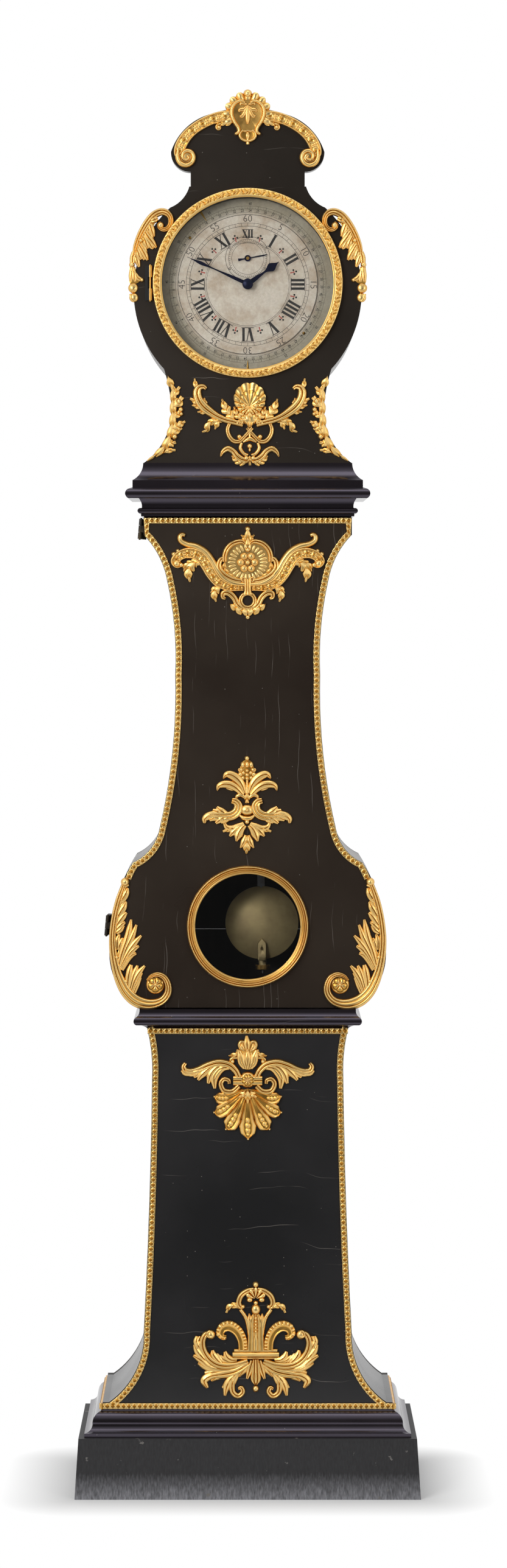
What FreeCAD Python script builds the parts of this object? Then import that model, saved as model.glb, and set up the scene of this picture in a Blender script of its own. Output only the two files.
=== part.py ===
import FreeCAD, Part
import math
import os
import re
import Sketcher

from FreeCAD import Placement, Rotation, Vector

# Floor regulator clock: black waisted case with gilt mounts, one-weight
# movement, silvered dial and seconds pendulum.  Millimetres, +Z up, the front
# faces -Y, origin under the middle of the plinth.

# Driving dimensions.
SIZES = {
    # plinth and case planes
    "plinth_width": 513.0,
    "plinth_depth": 270.0,
    "plinth_height": 89.0,
    "plinth_taper": 5.5,
    "plinth_wall": 24.0,
    "plinth_moulding_height": 38.0,
    "plinth_moulding_foot": 26.5,
    "face_setback": 40.0,
    "panel": 18.0,
    "board": 14.0,
    # base
    "base_height": 567.0,
    "base_foot_width": 432.0,
    "base_flare_width": 414.0,
    "base_flare_height": 113.5,
    "base_neck_width": 310.0,
    "base_waist_width": 285.0,
    "base_waist_drop": 73.5,
    "base_top_width": 300.0,
    "base_flare_sag": 15.0,
    "base_side_sag": 2.0,
    "base_crown_sag": 2.7,
    "base_floor_margin": 20.0,
    "waist_moulding_height": 29.0,
    "waist_moulding_nose": 18.5,
    # trunk and door
    "trunk_height": 733.5,
    "trunk_foot_width": 322.0,
    "bulge_width": 410.0,
    "bulge_rise": 96.5,
    "shoulder_width": 342.0,
    "shoulder_rise": 217.5,
    "throat_width": 263.0,
    "throat_rise": 268.0,
    "trunk_waist_width": 216.0,
    "trunk_waist_rise": 497.0,
    "neck_width": 240.4,
    "neck_rise": 638.0,
    "trunk_top_width": 310.6,
    "trunk_lip": 27.5,
    "bulge_under_sag": 16.0,
    "bulge_side_sag": 9.8,
    "shoulder_sag": 8.0,
    "trunk_long_sag": 7.5,
    "trunk_upper_sag": 4.8,
    "crown_sag": 5.8,
    "door_thickness": 22.0,
    "door_gap": 0.5,
    "door_top_gap": 2.2,
    "door_foot_gap": 1.5,
    "back_joint_rise": 100.5,
    "back_joint_gap": 1.2,
    "trunk_cornice_height": 26.5,
    "trunk_cornice_bead": 8.7,
    # gilt borders
    "border_width": 9.5,
    "border_relief": 5.0,
    "border_inset": 0.8,
    "border_tail": 22.5,
    "border_tail_spread": 11.6,
    # window in the door
    "window_rise": 122.5,
    "window_bezel_radius": 90.5,
    "window_sight_radius": 78.5,
    "window_bezel_depth": 9.0,
    "window_hole_radius": 85.0,
    "window_glass_radius": 84.4,
    "glass_thickness": 2.5,
    # door hinges on one slanted line
    "hinge_lower_rise": 123.5,
    "hinge_upper_drop": 18.5,
    "hinge_length": 30.0,
    "hinge_knuckle_radius": 3.0,
    "hinge_pin_radius": 1.4,
    "hinge_clear": 1.7,
    "hinge_back": 6.0,
    "hinge_strap": 1.5,
    "hinge_leaf_reach": 39.0,
    "hinge_leaf_depth": 9.0,
    "running_clearance": 0.05,
    "end_play": 0.3,
    # hood
    "hood_moulding_height": 53.0,
    "hood_moulding_nose": 27.0,
    "hood_moulding_fascia": 16.3,
    "hood_depth": 202.0,
    "dial_headroom": 1.0,
    "hood_foot_width": 310.0,
    "hood_waist_width": 227.0,
    "hood_waist_rise": 83.0,
    "hood_join_width": 249.4,
    "hood_join_rise": 140.0,
    "hood_shoulder_width": 231.0,
    "hood_shoulder_rise": 380.6,
    "hood_top_width": 174.0,
    "hood_foot_sag": 12.0,
    "hood_waist_sag": 1.5,
    "hood_round_sag": 49.8,
    "hood_shoulder_sag": 5.0,
    "pediment_thickness": 20.0,
    "pediment_neck_width": 170.0,
    "pediment_neck_height": 22.0,
    "pediment_ear_width": 228.6,
    "pediment_ear_rise": 51.5,
    "pediment_arch_width": 131.6,
    "pediment_arch_rise": 104.5,
    "pediment_crown_rise": 119.0,
    "pediment_ear_sag": 9.0,
    "pediment_arch_sag": 8.0,
    "pediment_crown_sag": 2.4,
    # dial door
    "dial_rise": 268.0,
    "dial_opening_radius": 129.0,
    "bezel_radius": 141.5,
    "bezel_sight_radius": 128.0,
    "bezel_depth": 11.5,
    "bezel_gap": 0.4,
    "bezel_rebate": 4.2,
    "bezel_hinge_length": 52.0,
    "bezel_knuckle_radius": 3.2,
    "bezel_pin_radius": 1.3,
    "bezel_knuckle_gap": 0.6,
    "bezel_leaf_width": 7.5,
    "bezel_leaf_thickness": 1.5,
    # dial
    "dial_setback": 25.0,
    "dial_radius": 105.0,
    "dial_thickness": 2.0,
    "calendar_bore_radius": 97.0,
    "calendar_thickness": 2.1,
    "calendar_play": 0.2,
    "calendar_gap": 0.4,
    "dial_back_thickness": 2.0,
    "dial_foot_radius": 2.5,
    "dial_foot_ring": 62.0,
    # hands
    "minute_hand_length": 98.5,
    "minute_hand_lift": 8.6,
    "hour_hand_length": 57.0,
    "hour_hand_lift": 4.2,
    "seconds_hand_length": 30.0,
    "seconds_hand_lift": 1.4,
    "hand_thickness": 1.2,
    "hand_boss_radius": 8.0,
    # movement
    "plate_width": 124.0,
    "plate_thickness": 3.5,
    "plate_drop": 95.0,
    "plate_crown": 84.0,
    "plate_gap": 45.0,
    "dial_standoff": 19.5,
    "pillar_radius": 4.5,
    "pillar_margin": 10.0,
    "seconds_rise": 39.0,
    "pallet_rise": 28.3,
    "great_module": 1.1,
    "centre_module": 0.7,
    "third_module": 0.6,
    "motion_module": 0.7,
    "arbor_radius": 2.4,
    "pivot_radius": 1.5,
    "wheel_thickness": 2.4,
    "pinion_length": 6.0,
    "escape_radius": 20.0,
    "escape_thickness": 1.6,
    "pallet_clear": 1.1,
    "barrel_radius": 22.0,
    "barrel_length": 17.0,
    "barrel_flange": 25.0,
    "crutch_length": 110.0,
    "crutch_width": 6.0,
    "crutch_pin_radius": 1.5,
    "crutch_clear": 0.1,
    # movement seat
    "seat_half_width": 94.0,
    "seat_depth": 118.0,
    "seat_thickness": 18.0,
    "cheek_thickness": 14.0,
    "cornice_well_half": 72.0,
    # pendulum
    "pendulum_setback": 28.0,
    "pendulum_length": 1030.5,
    "rod_width": 11.0,
    "rod_thickness": 3.0,
    "rod_head": 12.0,
    "rod_screw_radius": 2.6,
    "rod_tail": 77.0,
    "bob_radius": 55.5,
    "bob_half_thickness": 15.0,
    "bob_rim": 3.0,
    "bob_collar_radius": 6.0,
    "nut_radius": 11.2,
    "nut_height": 6.5,
    "nut_drop": 64.5,
    "knife_length": 27.4,
    "knife_half_width": 3.0,
    "knife_height": 5.0,
    "bracket_half_width": 18.0,
    "bracket_rail": 6.0,
    "bracket_height": 14.0,
    "bracket_cheek": 6.0,
    "bracket_well": 16.0,
    # weight and line
    "weight_radius": 27.0,
    "weight_height": 150.0,
    "weight_rise": 314.0,
    "pulley_groove_radius": 16.0,
    "pulley_flange_radius": 19.0,
    "pulley_width": 8.0,
    "pulley_groove_width": 3.0,
    "pulley_axle_radius": 2.5,
    "yoke_thickness": 2.5,
    "yoke_width": 12.0,
    "line_radius": 0.8,
    # cast mounts
    "mount_relief": 8.0,
    "boss_relief": 10.0,
    "pediment_mount_rise": 107.5,
    "hood_centre_mount_shift": 3.0,
    "door_upper_mount_drop": 69.5,
    "door_centre_mount_rise": 294.5,
    "base_upper_mount_drop": 78.0,
    "base_lower_mount_rise": 82.0,
    "base_lower_mount_shift": 8.0,
}

# Angles at rest: the hands read 1:49, the pendulum is swung to the right.
MINUTE_READING = 49
HOUR_READING = 1
SECOND_READING = 13.3
PENDULUM_REST_DEG = 1.2

# Tooth and leaf counts of the going train and of the motion work.
GREAT_TEETH = 72
CENTRE_LEAVES = 12
CENTRE_TEETH = 80
THIRD_LEAVES = 10
THIRD_TEETH = 75
ESCAPE_LEAVES = 10
ESCAPE_TEETH = 30
CANNON_TEETH = 20
MINUTE_TEETH = 40
MINUTE_LEAVES = 10
HOUR_TEETH = 60
MOTION_TEETH_SUM = CANNON_TEETH + MINUTE_TEETH
HOUR_TEETH_SUM = MINUTE_LEAVES + HOUR_TEETH

# Planes, levels and distances that follow from the driving dimensions.
DERIVED = {
    "face_y": "face_setback - plinth_depth/2",
    "back_y": "plinth_depth/2",
    "base_z": "plinth_height + plinth_moulding_height",
    "base_top_z": "base_z + base_height",
    "trunk_z": "base_top_z + waist_moulding_height",
    "trunk_top_z": "trunk_z + trunk_height",
    "hood_moulding_z": "trunk_top_z + trunk_cornice_height",
    "hood_z": "hood_moulding_z + hood_moulding_height",
    "hood_top_z": "dial_z + dial_opening_radius + board + dial_headroom",
    "hood_back_y": "face_y + hood_depth",
    "carcass_front_y": "face_y + door_thickness + door_gap",
    "window_z": "trunk_z + window_rise",
    "dial_z": "hood_z + dial_rise",
    "dial_y": "face_y + dial_setback",
    "calendar_y": "dial_y + dial_thickness + calendar_play/2",
    "calendar_radius": "dial_opening_radius - calendar_gap",
    "dial_back_radius": "dial_opening_radius + dial_headroom/2",
    "dial_back_y": "dial_y + dial_thickness + calendar_thickness + calendar_play",
    "front_plate_y": "dial_back_y + dial_back_thickness + dial_standoff",
    "movement_y": "front_plate_y + plate_thickness",
    "back_plate_y": "movement_y + plate_gap",
    "movement_back_y": "back_plate_y + plate_thickness",
    "seat_top_z": "dial_z - plate_drop",
    "great_mesh": "great_module*%d/2" % (GREAT_TEETH + CENTRE_LEAVES),
    "centre_mesh": "centre_module*%d/2" % (CENTRE_TEETH + THIRD_LEAVES),
    "third_mesh": "third_module*%d/2" % (THIRD_TEETH + ESCAPE_LEAVES),
    "motion_mesh": "motion_module*%d/2" % MOTION_TEETH_SUM,
    "great_z": "dial_z - great_mesh",
    "third_rise": "(centre_mesh^2 - third_mesh^2 + seconds_rise^2)/(2*seconds_rise)",
    "third_x": "sqrt(centre_mesh^2 - third_rise^2)",
    "third_z": "dial_z + third_rise",
    "escape_z": "dial_z + seconds_rise",
    "pivot_z": "escape_z + pallet_rise",
    "pendulum_y": "movement_back_y + pendulum_setback",
    "bob_z": "pivot_z - pendulum_length",
    "line_right_x": "barrel_radius + line_radius + running_clearance",
    "pulley_reach": "pulley_groove_radius + line_radius + running_clearance",
    "pulley_x": "line_right_x - pulley_reach",
    "line_left_x": "pulley_x - pulley_reach",
    "pulley_z": "weight_z + weight_height + yoke_drop",
    "yoke_drop": "pulley_flange_radius + 2*yoke_thickness",
    "weight_z": "trunk_z + weight_rise",
    "great_wheel_y": "movement_y + pinion_length",
    "barrel_y": "great_wheel_y + wheel_thickness + 2*end_play",
    "line_y": "barrel_y + barrel_length/2",
    "centre_wheel_y": "barrel_y + barrel_length + wheel_thickness",
    "third_wheel_y": "movement_y + plate_gap/2 - wheel_thickness",
    "escape_wheel_y": "third_wheel_y + 2*wheel_thickness",
    "bezel_back_y": "face_y - bezel_gap",
    "bezel_front_y": "bezel_back_y - bezel_depth",
    "bezel_axis_x": "-(bezel_radius + bezel_knuckle_radius + bezel_knuckle_gap)",
    "bezel_axis_y": "bezel_back_y - bezel_knuckle_radius - bezel_gap",
    "hinge_axis_y": "face_y + hinge_back",
    "hinge_lower_x": "-(bulge_width/2 + hinge_knuckle_radius + hinge_clear)",
    "hinge_upper_x": "-(trunk_top_width/2 + hinge_knuckle_radius + hinge_clear)",
    "hinge_lower_z": "trunk_z + hinge_lower_rise",
    "hinge_upper_z": "trunk_top_z - hinge_upper_drop",
}

WORD = re.compile(r"[A-Za-z_][A-Za-z_0-9]*")
doc = FreeCAD.newDocument("floor_regulator_clock")
sheet = doc.addObject("Spreadsheet::Sheet", "Sizes")
for row, (alias, value) in enumerate(SIZES.items(), start=1):
    sheet.set("A%d" % row, alias)
    sheet.set("B%d" % row, repr(value))
    sheet.setAlias("B%d" % row, alias)
doc.recompute()

nodes = {}


def formula(text):
    """Cell references for the named sizes in an expression."""
    def cell(match):
        word = match.group(0)
        if word in DERIVED:
            return "(" + formula(DERIVED[word]) + ")"
        if word in SIZES:
            return "Sizes." + word
        return word
    return WORD.sub(cell, text)


def number(text):
    """Present value of an expression in named sizes."""
    return float(sheet.evalExpression(formula(text)))


def bind(thing, prop, text):
    thing.setExpression(prop, formula(text))


def place(thing, x="0", y="0", z="0"):
    """Bind a position to expressions in named sizes."""
    bind(thing, "Placement.Base.x", x)
    bind(thing, "Placement.Base.y", y)
    bind(thing, "Placement.Base.z", z)
    return thing


def keep(label, thing):
    """Name a finished sub-part."""
    thing.Label = label
    nodes[label] = thing
    return thing


def box(name, span_x, span_y, span_z):
    """Block between two expressions on each axis."""
    thing = doc.addObject("Part::Box", name)
    for prop, (low, high) in zip(("Length", "Width", "Height"), (span_x, span_y, span_z)):
        bind(thing, prop, "(%s) - (%s)" % (high, low))
    return place(thing, span_x[0], span_y[0], span_z[0])


# Turns a cylinder's own axis onto +Y.
ALONG_Y = Rotation(Vector(1, 0, 0), -90)


def rod_y(name, radius, x, z, y_from, y_to):
    """Round bar along Y."""
    thing = doc.addObject("Part::Cylinder", name)
    thing.Placement = Placement(Vector(), ALONG_Y)
    bind(thing, "Radius", radius)
    bind(thing, "Height", "(%s) - (%s)" % (y_to, y_from))
    return place(thing, x, y_from, z)


def rod_z(name, radius, x, y, z_from, z_to):
    """Round bar along Z."""
    thing = doc.addObject("Part::Cylinder", name)
    bind(thing, "Radius", radius)
    bind(thing, "Height", "(%s) - (%s)" % (z_to, z_from))
    return place(thing, x, y, z_from)


def fuse(name, things):
    thing = doc.addObject("Part::MultiFuse", name)
    thing.Shapes = things
    return thing


def common(name, one, other):
    thing = doc.addObject("Part::MultiCommon", name)
    thing.Shapes = [one, other]
    return thing


def cut(name, base, tool):
    thing = doc.addObject("Part::Cut", name)
    thing.Base = base
    thing.Tool = tool
    return thing


def mirror_x(name, source):
    thing = doc.addObject("Part::Mirroring", name)
    thing.Source = source
    thing.Normal = Vector(1, 0, 0)
    return thing


def group(name, things):
    thing = doc.addObject("Part::Compound", name)
    thing.Links = things
    return thing


def pair(name, right):
    """The right-hand piece with its mirror image."""
    return group(name, [right, mirror_x(name + "_left", right)])


def draw_loop(sketch, loop):
    """Closed outline.

    Each entry is x, y and the edge to the next point: None for a line, or a
    side and the name of a rise, where side 1 bows to the left of the way.
    """
    values = [(number(x), number(y)) for x, y, edge in loop]
    starts, ends = [], []
    for index, (x, y, edge) in enumerate(loop):
        one = Vector(values[index][0], values[index][1], 0)
        after = (index + 1) % len(loop)
        two = Vector(values[after][0], values[after][1], 0)
        if edge is None:
            item = sketch.addGeometry(Part.LineSegment(one, two))
            starts.append((item, 1))
            ends.append((item, 2))
            continue
        side, rise = edge
        way = two - one
        left = Vector(-way.y, way.x, 0).normalize()
        middle = (one + two) * 0.5 + left * (side * number(rise))
        if side < 0:
            item = sketch.addGeometry(Part.Arc(one, middle, two))
            starts.append((item, 1))
            ends.append((item, 2))
        else:
            item = sketch.addGeometry(Part.Arc(two, middle, one))
            starts.append((item, 2))
            ends.append((item, 1))
    for index, (x, y, edge) in enumerate(loop):
        before = ends[index - 1]
        here = starts[index]
        sketch.addConstraint(Sketcher.Constraint("Coincident", before[0], before[1], here[0], here[1]))
        for kind, text, value in (("DistanceX", x, values[index][0]),
                                  ("DistanceY", y, values[index][1])):
            rule = sketch.addConstraint(Sketcher.Constraint(kind, -1, 1, here[0], here[1], value))
            bind(sketch, "Constraints[%d]" % rule, text)
        if edge is not None:
            x_next, y_next = loop[(index + 1) % len(loop)][:2]
            chord = "((%s) - (%s))^2 + ((%s) - (%s))^2" % (x_next, x, y_next, y)
            radius = "(%s)/(8*(%s)) + (%s)/2" % (chord, edge[1], edge[1])
            rule = sketch.addConstraint(Sketcher.Constraint("Radius", here[0], number(radius)))
            bind(sketch, "Constraints[%d]" % rule, radius)


def draw_circle(sketch, x, y, radius):
    centre = Vector(number(x), number(y), 0)
    item = sketch.addGeometry(Part.Circle(centre, Vector(0, 0, 1), number(radius)))
    for kind, text in (("DistanceX", x), ("DistanceY", y)):
        rule = sketch.addConstraint(Sketcher.Constraint(kind, -1, 1, item, 3, number(text)))
        bind(sketch, "Constraints[%d]" % rule, text)
    rule = sketch.addConstraint(Sketcher.Constraint("Radius", item, number(radius)))
    bind(sketch, "Constraints[%d]" % rule, radius)


def body_sketch(body, role, loops, circles=()):
    """Sketch on one of a body's own origin planes."""
    plane = [item for item in body.Origin.OriginFeatures if item.Role == role][0]
    sketch = body.newObject("Sketcher::SketchObject", body.Name + "_profile")
    sketch.AttachmentSupport = [(plane, "")]
    sketch.MapMode = "FlatFace"
    for loop in loops:
        draw_loop(sketch, loop)
    for circle in circles:
        draw_circle(sketch, *circle)
    return sketch


def upright(name, loops, y_from, y_to, circles=()):
    """Board with a front outline in X and Z, from one Y plane to another."""
    body = doc.addObject("PartDesign::Body", name)
    sketch = body_sketch(body, "XZ_Plane", loops, circles)
    pad = body.newObject("PartDesign::Pad", name + "_pad")
    pad.Profile = sketch
    bind(pad, "Length", "(%s) - (%s)" % (y_to, y_from))
    return place(body, "0", y_to, "0")


def turned(name, role, loop, x="0", y="0", z="0"):
    """Turned piece: radius and length along the axis, about the sketch's upright axis."""
    body = doc.addObject("PartDesign::Body", name)
    sketch = body_sketch(body, role, [loop])
    spin = body.newObject("PartDesign::Revolution", name + "_turn")
    spin.Profile = sketch
    spin.ReferenceAxis = (sketch, ["V_Axis"])
    spin.Angle = 360.0
    return place(body, x, y, z)


def both_sides(profile):
    """Whole front outline from its right-hand side, listed upwards."""
    loop = [tuple(point) for point in profile]
    crown = len(profile) - 1
    on_axis = profile[crown][0] == "0"
    for index in range(crown - 1 if on_axis else crown, -1, -1):
        x, z, edge = profile[index]
        below = profile[index - 1][2] if index > 0 else None
        loop.append(("-(%s)" % x, z, below))
    if on_axis:
        x, z, edge = profile[crown]
        loop[crown] = (x, z, profile[crown - 1][2])
    return loop


def band(profile, width):
    """Strip along the inside of a right-hand outline, measured across."""
    loop = [tuple(point) for point in profile]
    for index in range(len(profile) - 1, -1, -1):
        x, z, edge = profile[index]
        below = profile[index - 1][2] if index > 0 else None
        flipped = None if below is None else (-below[0], below[1])
        loop.append(("%s - (%s)" % (x, width), z, flipped))
    return loop


def prism(name, plane_turn, loop, length, both_ways):
    """Extruded outline that stands by itself."""
    sketch = doc.addObject("Sketcher::SketchObject", name + "_outline")
    sketch.Placement = Placement(Vector(), plane_turn)
    draw_loop(sketch, loop)
    thing = doc.addObject("Part::Extrusion", name)
    thing.Base = sketch
    thing.DirMode = "Normal"
    thing.Solid = True
    thing.Symmetric = both_ways
    bind(thing, "LengthFwd", length)
    return thing, sketch


# Sketch planes seen from the front and from the right.
FRONT_VIEW = Rotation(Vector(1, 0, 0), 90)
SIDE_VIEW = Rotation(Vector(0.57735, 0.57735, 0.57735), 120)


def moulded_block(name, profile, half, front, back):
    """Block whose front and sides carry one moulding: offsets from half width and front plane."""
    sides = both_sides([("%s + %s" % (half, out), z, edge) for out, z, edge in profile])
    side_block, sketch = prism(name + "_sides", FRONT_VIEW, sides, "2*plinth_depth", True)
    face = [("%s - (%s)" % (front, out), z, None if edge is None else (-edge[0], edge[1]))
            for out, z, edge in profile]
    face.append((back, profile[-1][1], None))
    face.append((back, profile[0][1], None))
    front_block, sketch = prism(name + "_front", SIDE_VIEW, face, "2*plinth_width", True)
    return common(name + "_block", side_block, front_block)


def frame_of_boards(label, block, z_from, z_to, half, front, back):
    """Four boards of a hollow frame: front, back and the two sides between them."""
    tall = (z_from, z_to)
    wide = ("-plinth_width", "plinth_width")
    front_room = box(label + "_front_room", wide, ("-plinth_depth", front), tall)
    back_room = box(label + "_back_room", wide, (back, "plinth_depth"), tall)
    side_room = box(label + "_side_room", (half, "plinth_width"), (front, back), tall)
    right = common(label + "_right", block, side_room)
    pieces = [
        common(label + "_front", block, front_room),
        common(label + "_back", block, back_room),
        right,
        mirror_x(label + "_left", right),
    ]
    return keep(label, group(label, pieces))


# Right-hand outlines of the case, listed upwards.
IN, OUT = 1, -1
BASE = [
    ("base_foot_width/2", "base_z", None),
    ("base_foot_width/2", "base_z + border_width", None),
    ("base_flare_width/2", "base_z + border_width", (IN, "base_flare_sag")),
    ("base_neck_width/2", "base_z + base_flare_height", (IN, "base_side_sag")),
    ("base_waist_width/2", "base_top_z - base_waist_drop", (IN, "base_crown_sag")),
    ("base_top_width/2", "base_top_z", None),
]


def trunk_outline(foot_z, top_z):
    return [
        ("trunk_foot_width/2", foot_z, (OUT, "bulge_under_sag")),
        ("bulge_width/2", "trunk_z + bulge_rise", (OUT, "bulge_side_sag")),
        ("shoulder_width/2", "trunk_z + shoulder_rise", (IN, "shoulder_sag")),
        ("throat_width/2", "trunk_z + throat_rise", (IN, "trunk_long_sag")),
        ("trunk_waist_width/2", "trunk_z + trunk_waist_rise", (IN, "trunk_upper_sag")),
        ("neck_width/2", "trunk_z + neck_rise", (IN, "crown_sag")),
        ("trunk_top_width/2", "trunk_top_z - trunk_lip", None),
        ("trunk_top_width/2", top_z, None),
    ]


TRUNK = trunk_outline("trunk_z", "trunk_top_z")
DOOR = trunk_outline("trunk_z + door_foot_gap", "trunk_top_z - door_top_gap")
HOOD = [
    ("hood_foot_width/2", "hood_z", (IN, "hood_foot_sag")),
    ("hood_waist_width/2", "hood_z + hood_waist_rise", (IN, "hood_waist_sag")),
    ("hood_join_width/2", "hood_z + hood_join_rise", (OUT, "hood_round_sag")),
    ("hood_shoulder_width/2", "hood_z + hood_shoulder_rise", (IN, "hood_shoulder_sag")),
    ("hood_top_width/2", "hood_top_z", None),
]
PEDIMENT = [
    ("pediment_neck_width/2", "hood_top_z", None),
    ("pediment_neck_width/2", "hood_top_z + pediment_neck_height", (OUT, "pediment_ear_sag")),
    ("pediment_ear_width/2", "hood_top_z + pediment_ear_rise", (OUT, "pediment_arch_sag")),
    ("pediment_arch_width/2", "hood_top_z + pediment_arch_rise", (OUT, "pediment_crown_sag")),
    ("0", "hood_top_z + pediment_crown_rise", None),
]

# Plinth: four tapered boards.
plinth_block = moulded_block(
    "plinth",
    [("0", "0", None), ("-plinth_taper", "plinth_height", None)],
    "plinth_width/2", "-plinth_depth/2", "back_y")
frame_of_boards("plinth_boards", plinth_block, "0", "plinth_height",
                "plinth_width/2 - plinth_taper - plinth_wall",
                "plinth_taper + plinth_wall - plinth_depth/2", "back_y - plinth_wall")

# Ogee moulding between plinth and base.
foot_block = moulded_block(
    "plinth_moulding",
    [("plinth_moulding_foot", "plinth_height", None),
     ("plinth_moulding_foot", "plinth_height + plinth_moulding_height*0.16",
      (IN, "plinth_moulding_height*0.09")),
     ("plinth_moulding_foot*0.55", "plinth_height + plinth_moulding_height*0.47",
      (OUT, "plinth_moulding_height*0.1")),
     ("plinth_moulding_foot*0.12", "base_z - plinth_moulding_height*0.08", None),
     ("plinth_moulding_foot*0.06", "base_z", None)],
    "base_foot_width/2", "face_y", "back_y")
frame_of_boards("plinth_moulding", foot_block, "plinth_height", "base_z",
                "base_foot_width/2 - board", "face_y + board", "back_y - 2*board")

# Base: flared front panel, curved sides, back and floor.
keep("base_front_panel", upright("base_front_panel", [both_sides(BASE)], "face_y", "face_y + panel"))
base_right = upright("base_right", [band(BASE, "board")], "face_y + panel", "back_y - board")
keep("base_sides", pair("base_sides", base_right))
keep("base_back_board", upright("base_back_board", [both_sides(BASE)], "back_y - board", "back_y"))
floor_half = "base_neck_width/2 + base_floor_margin"
keep("base_floor_board", box("base_floor_board", ("-(%s)" % floor_half, floor_half),
                             ("face_y + panel", "back_y - board"), ("base_z", "base_z + board")))

# Gilt border of the base: a soldered frame with returns along the flanks.
base_strip = [("%s - border_inset" % x, z, edge) for x, z, edge in BASE[2:]]
strip_span = ("face_y - border_relief", "face_y")
strip_right = upright("base_border_right", [band(base_strip, "border_width")], *strip_span)
strip_top = box("base_border_top", ("-(base_top_width/2 - border_inset)",
                                    "base_top_width/2 - border_inset"),
                strip_span, ("base_top_z - border_width", "base_top_z"))
strip_foot = box("base_border_foot", ("-(base_foot_width/2 + border_relief)",
                                      "base_foot_width/2 + border_relief"),
                 strip_span, ("base_z", "base_z + border_width"))
return_right = box("base_border_return", ("base_foot_width/2", "base_foot_width/2 + border_relief"),
                   ("face_y - border_relief", "back_y - board"), ("base_z", "base_z + border_width"))
keep("base_gilt_border", fuse("base_gilt_border", [
    strip_right, mirror_x("base_border_left", strip_right), strip_top, strip_foot,
    return_right, mirror_x("base_border_return_left", return_right)]))

# Waist moulding between base and trunk.
waist_shelf = "(trunk_foot_width - base_top_width)/2"
waist_block = moulded_block(
    "waist_moulding",
    [("0", "base_top_z", (IN, "waist_moulding_height*0.06")),
     ("waist_moulding_nose*0.84", "base_top_z + waist_moulding_height*0.19",
      (OUT, "waist_moulding_height*0.13")),
     ("waist_moulding_nose*0.88", "base_top_z + waist_moulding_height*0.6",
      (IN, "waist_moulding_height*0.05")),
     (waist_shelf, "trunk_z - waist_moulding_height*0.08", None),
     (waist_shelf, "trunk_z", None)],
    "base_top_width/2", "face_y", "back_y")
frame_of_boards("waist_moulding", waist_block, "base_top_z", "trunk_z",
                "base_top_width/2 - board", "face_y + panel", "back_y - board")

# Trunk carcass.
trunk_right = upright("trunk_right", [band(TRUNK, "board")], "carcass_front_y", "back_y - board")
trunk_sides = keep("trunk_sides", pair("trunk_sides", trunk_right))
back_boards = upright("trunk_back_plain", [both_sides(TRUNK)], "back_y - board", "back_y")
back_joint = box("trunk_back_joint", ("board - trunk_foot_width/2", "trunk_foot_width/2 - board"),
                 ("back_y - 2*board", "back_y + board"),
                 ("trunk_z + back_joint_rise", "trunk_z + back_joint_rise + back_joint_gap"))
keep("trunk_back_board", cut("trunk_back_board", back_boards, back_joint))
cornice_block = moulded_block(
    "trunk_cornice",
    [("trunk_cornice_bead*0.4", "trunk_top_z", None),
     ("trunk_cornice_bead*0.4", "trunk_top_z + trunk_cornice_height*0.16",
      (OUT, "trunk_cornice_bead*0.6")),
     ("trunk_cornice_bead*0.4", "trunk_top_z + trunk_cornice_height*0.46", None),
     ("trunk_cornice_bead*0.28", "trunk_top_z + trunk_cornice_height*0.48",
      (IN, "trunk_cornice_height*0.06")),
     ("trunk_cornice_bead*0.78", "hood_moulding_z", None)],
    "trunk_top_width/2", "face_y", "back_y")
frame_of_boards("trunk_cornice", cornice_block, "trunk_top_z", "hood_moulding_z", "cornice_well_half",
                "-(seat_depth/2)", "seat_depth/2 + 2*board")

# Movement seat: board on two cheeks that stand on the trunk cornice.
seat_front_y = "front_plate_y - cheek_thickness"
seat_back_y = "(%s) + seat_depth" % seat_front_y
seat_plain = box("seat_plain", ("-seat_half_width", "seat_half_width"), (seat_front_y, seat_back_y),
                 ("seat_top_z - seat_thickness", "seat_top_z"))
rod_slot = box("seat_rod_slot", ("-2*rod_width", "2*rod_width"),
               ("pendulum_y - 4*rod_thickness", "pendulum_y + 4*rod_thickness"),
               ("seat_top_z - 2*seat_thickness", "seat_top_z + seat_thickness"))
line_slot = box("seat_line_slot", ("line_right_x - 8*line_radius", "line_right_x + 8*line_radius"),
                ("line_y - barrel_length/2", "line_y + barrel_length/2"),
                ("seat_top_z - 2*seat_thickness", "seat_top_z + seat_thickness"))
seat_board = cut("seat_board", seat_plain, fuse("seat_slots", [rod_slot, line_slot]))
cheek_right = box("seat_cheek", ("seat_half_width - cheek_thickness", "seat_half_width"),
                  ("-(seat_depth/2)", "seat_depth/2"), ("hood_moulding_z",
                                                        "seat_top_z - seat_thickness"))
keep("movement_seat", group("movement_seat", [seat_board, cheek_right, mirror_x("seat_cheek_left",
                                                                                cheek_right)]))

# Trunk door with its round window.
door_back_y = "face_y + door_thickness"
trunk_door = keep("trunk_door", upright("trunk_door", [both_sides(DOOR)], "face_y", door_back_y,
                                        [("0", "window_z", "window_hole_radius")]))
keep("window_bezel", turned("window_bezel", "XY_Plane", [
    ("window_sight_radius", "0", None),
    ("window_bezel_radius", "0", None),
    ("window_bezel_radius", "-window_bezel_depth*0.35", (OUT, "window_bezel_depth*0.12")),
    ("(window_bezel_radius + window_sight_radius)/2", "-window_bezel_depth",
     (OUT, "window_bezel_depth*0.12")),
    ("window_sight_radius", "-window_bezel_depth*0.35", None)], "0", "face_y", "window_z"))
keep("window_glass", turned("window_glass", "XY_Plane", [
    ("0", "0", None),
    ("window_glass_radius", "0", None),
    ("window_glass_radius", "glass_thickness", None),
    ("0", "glass_thickness", None)], "0", "face_y", "window_z"))

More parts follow.
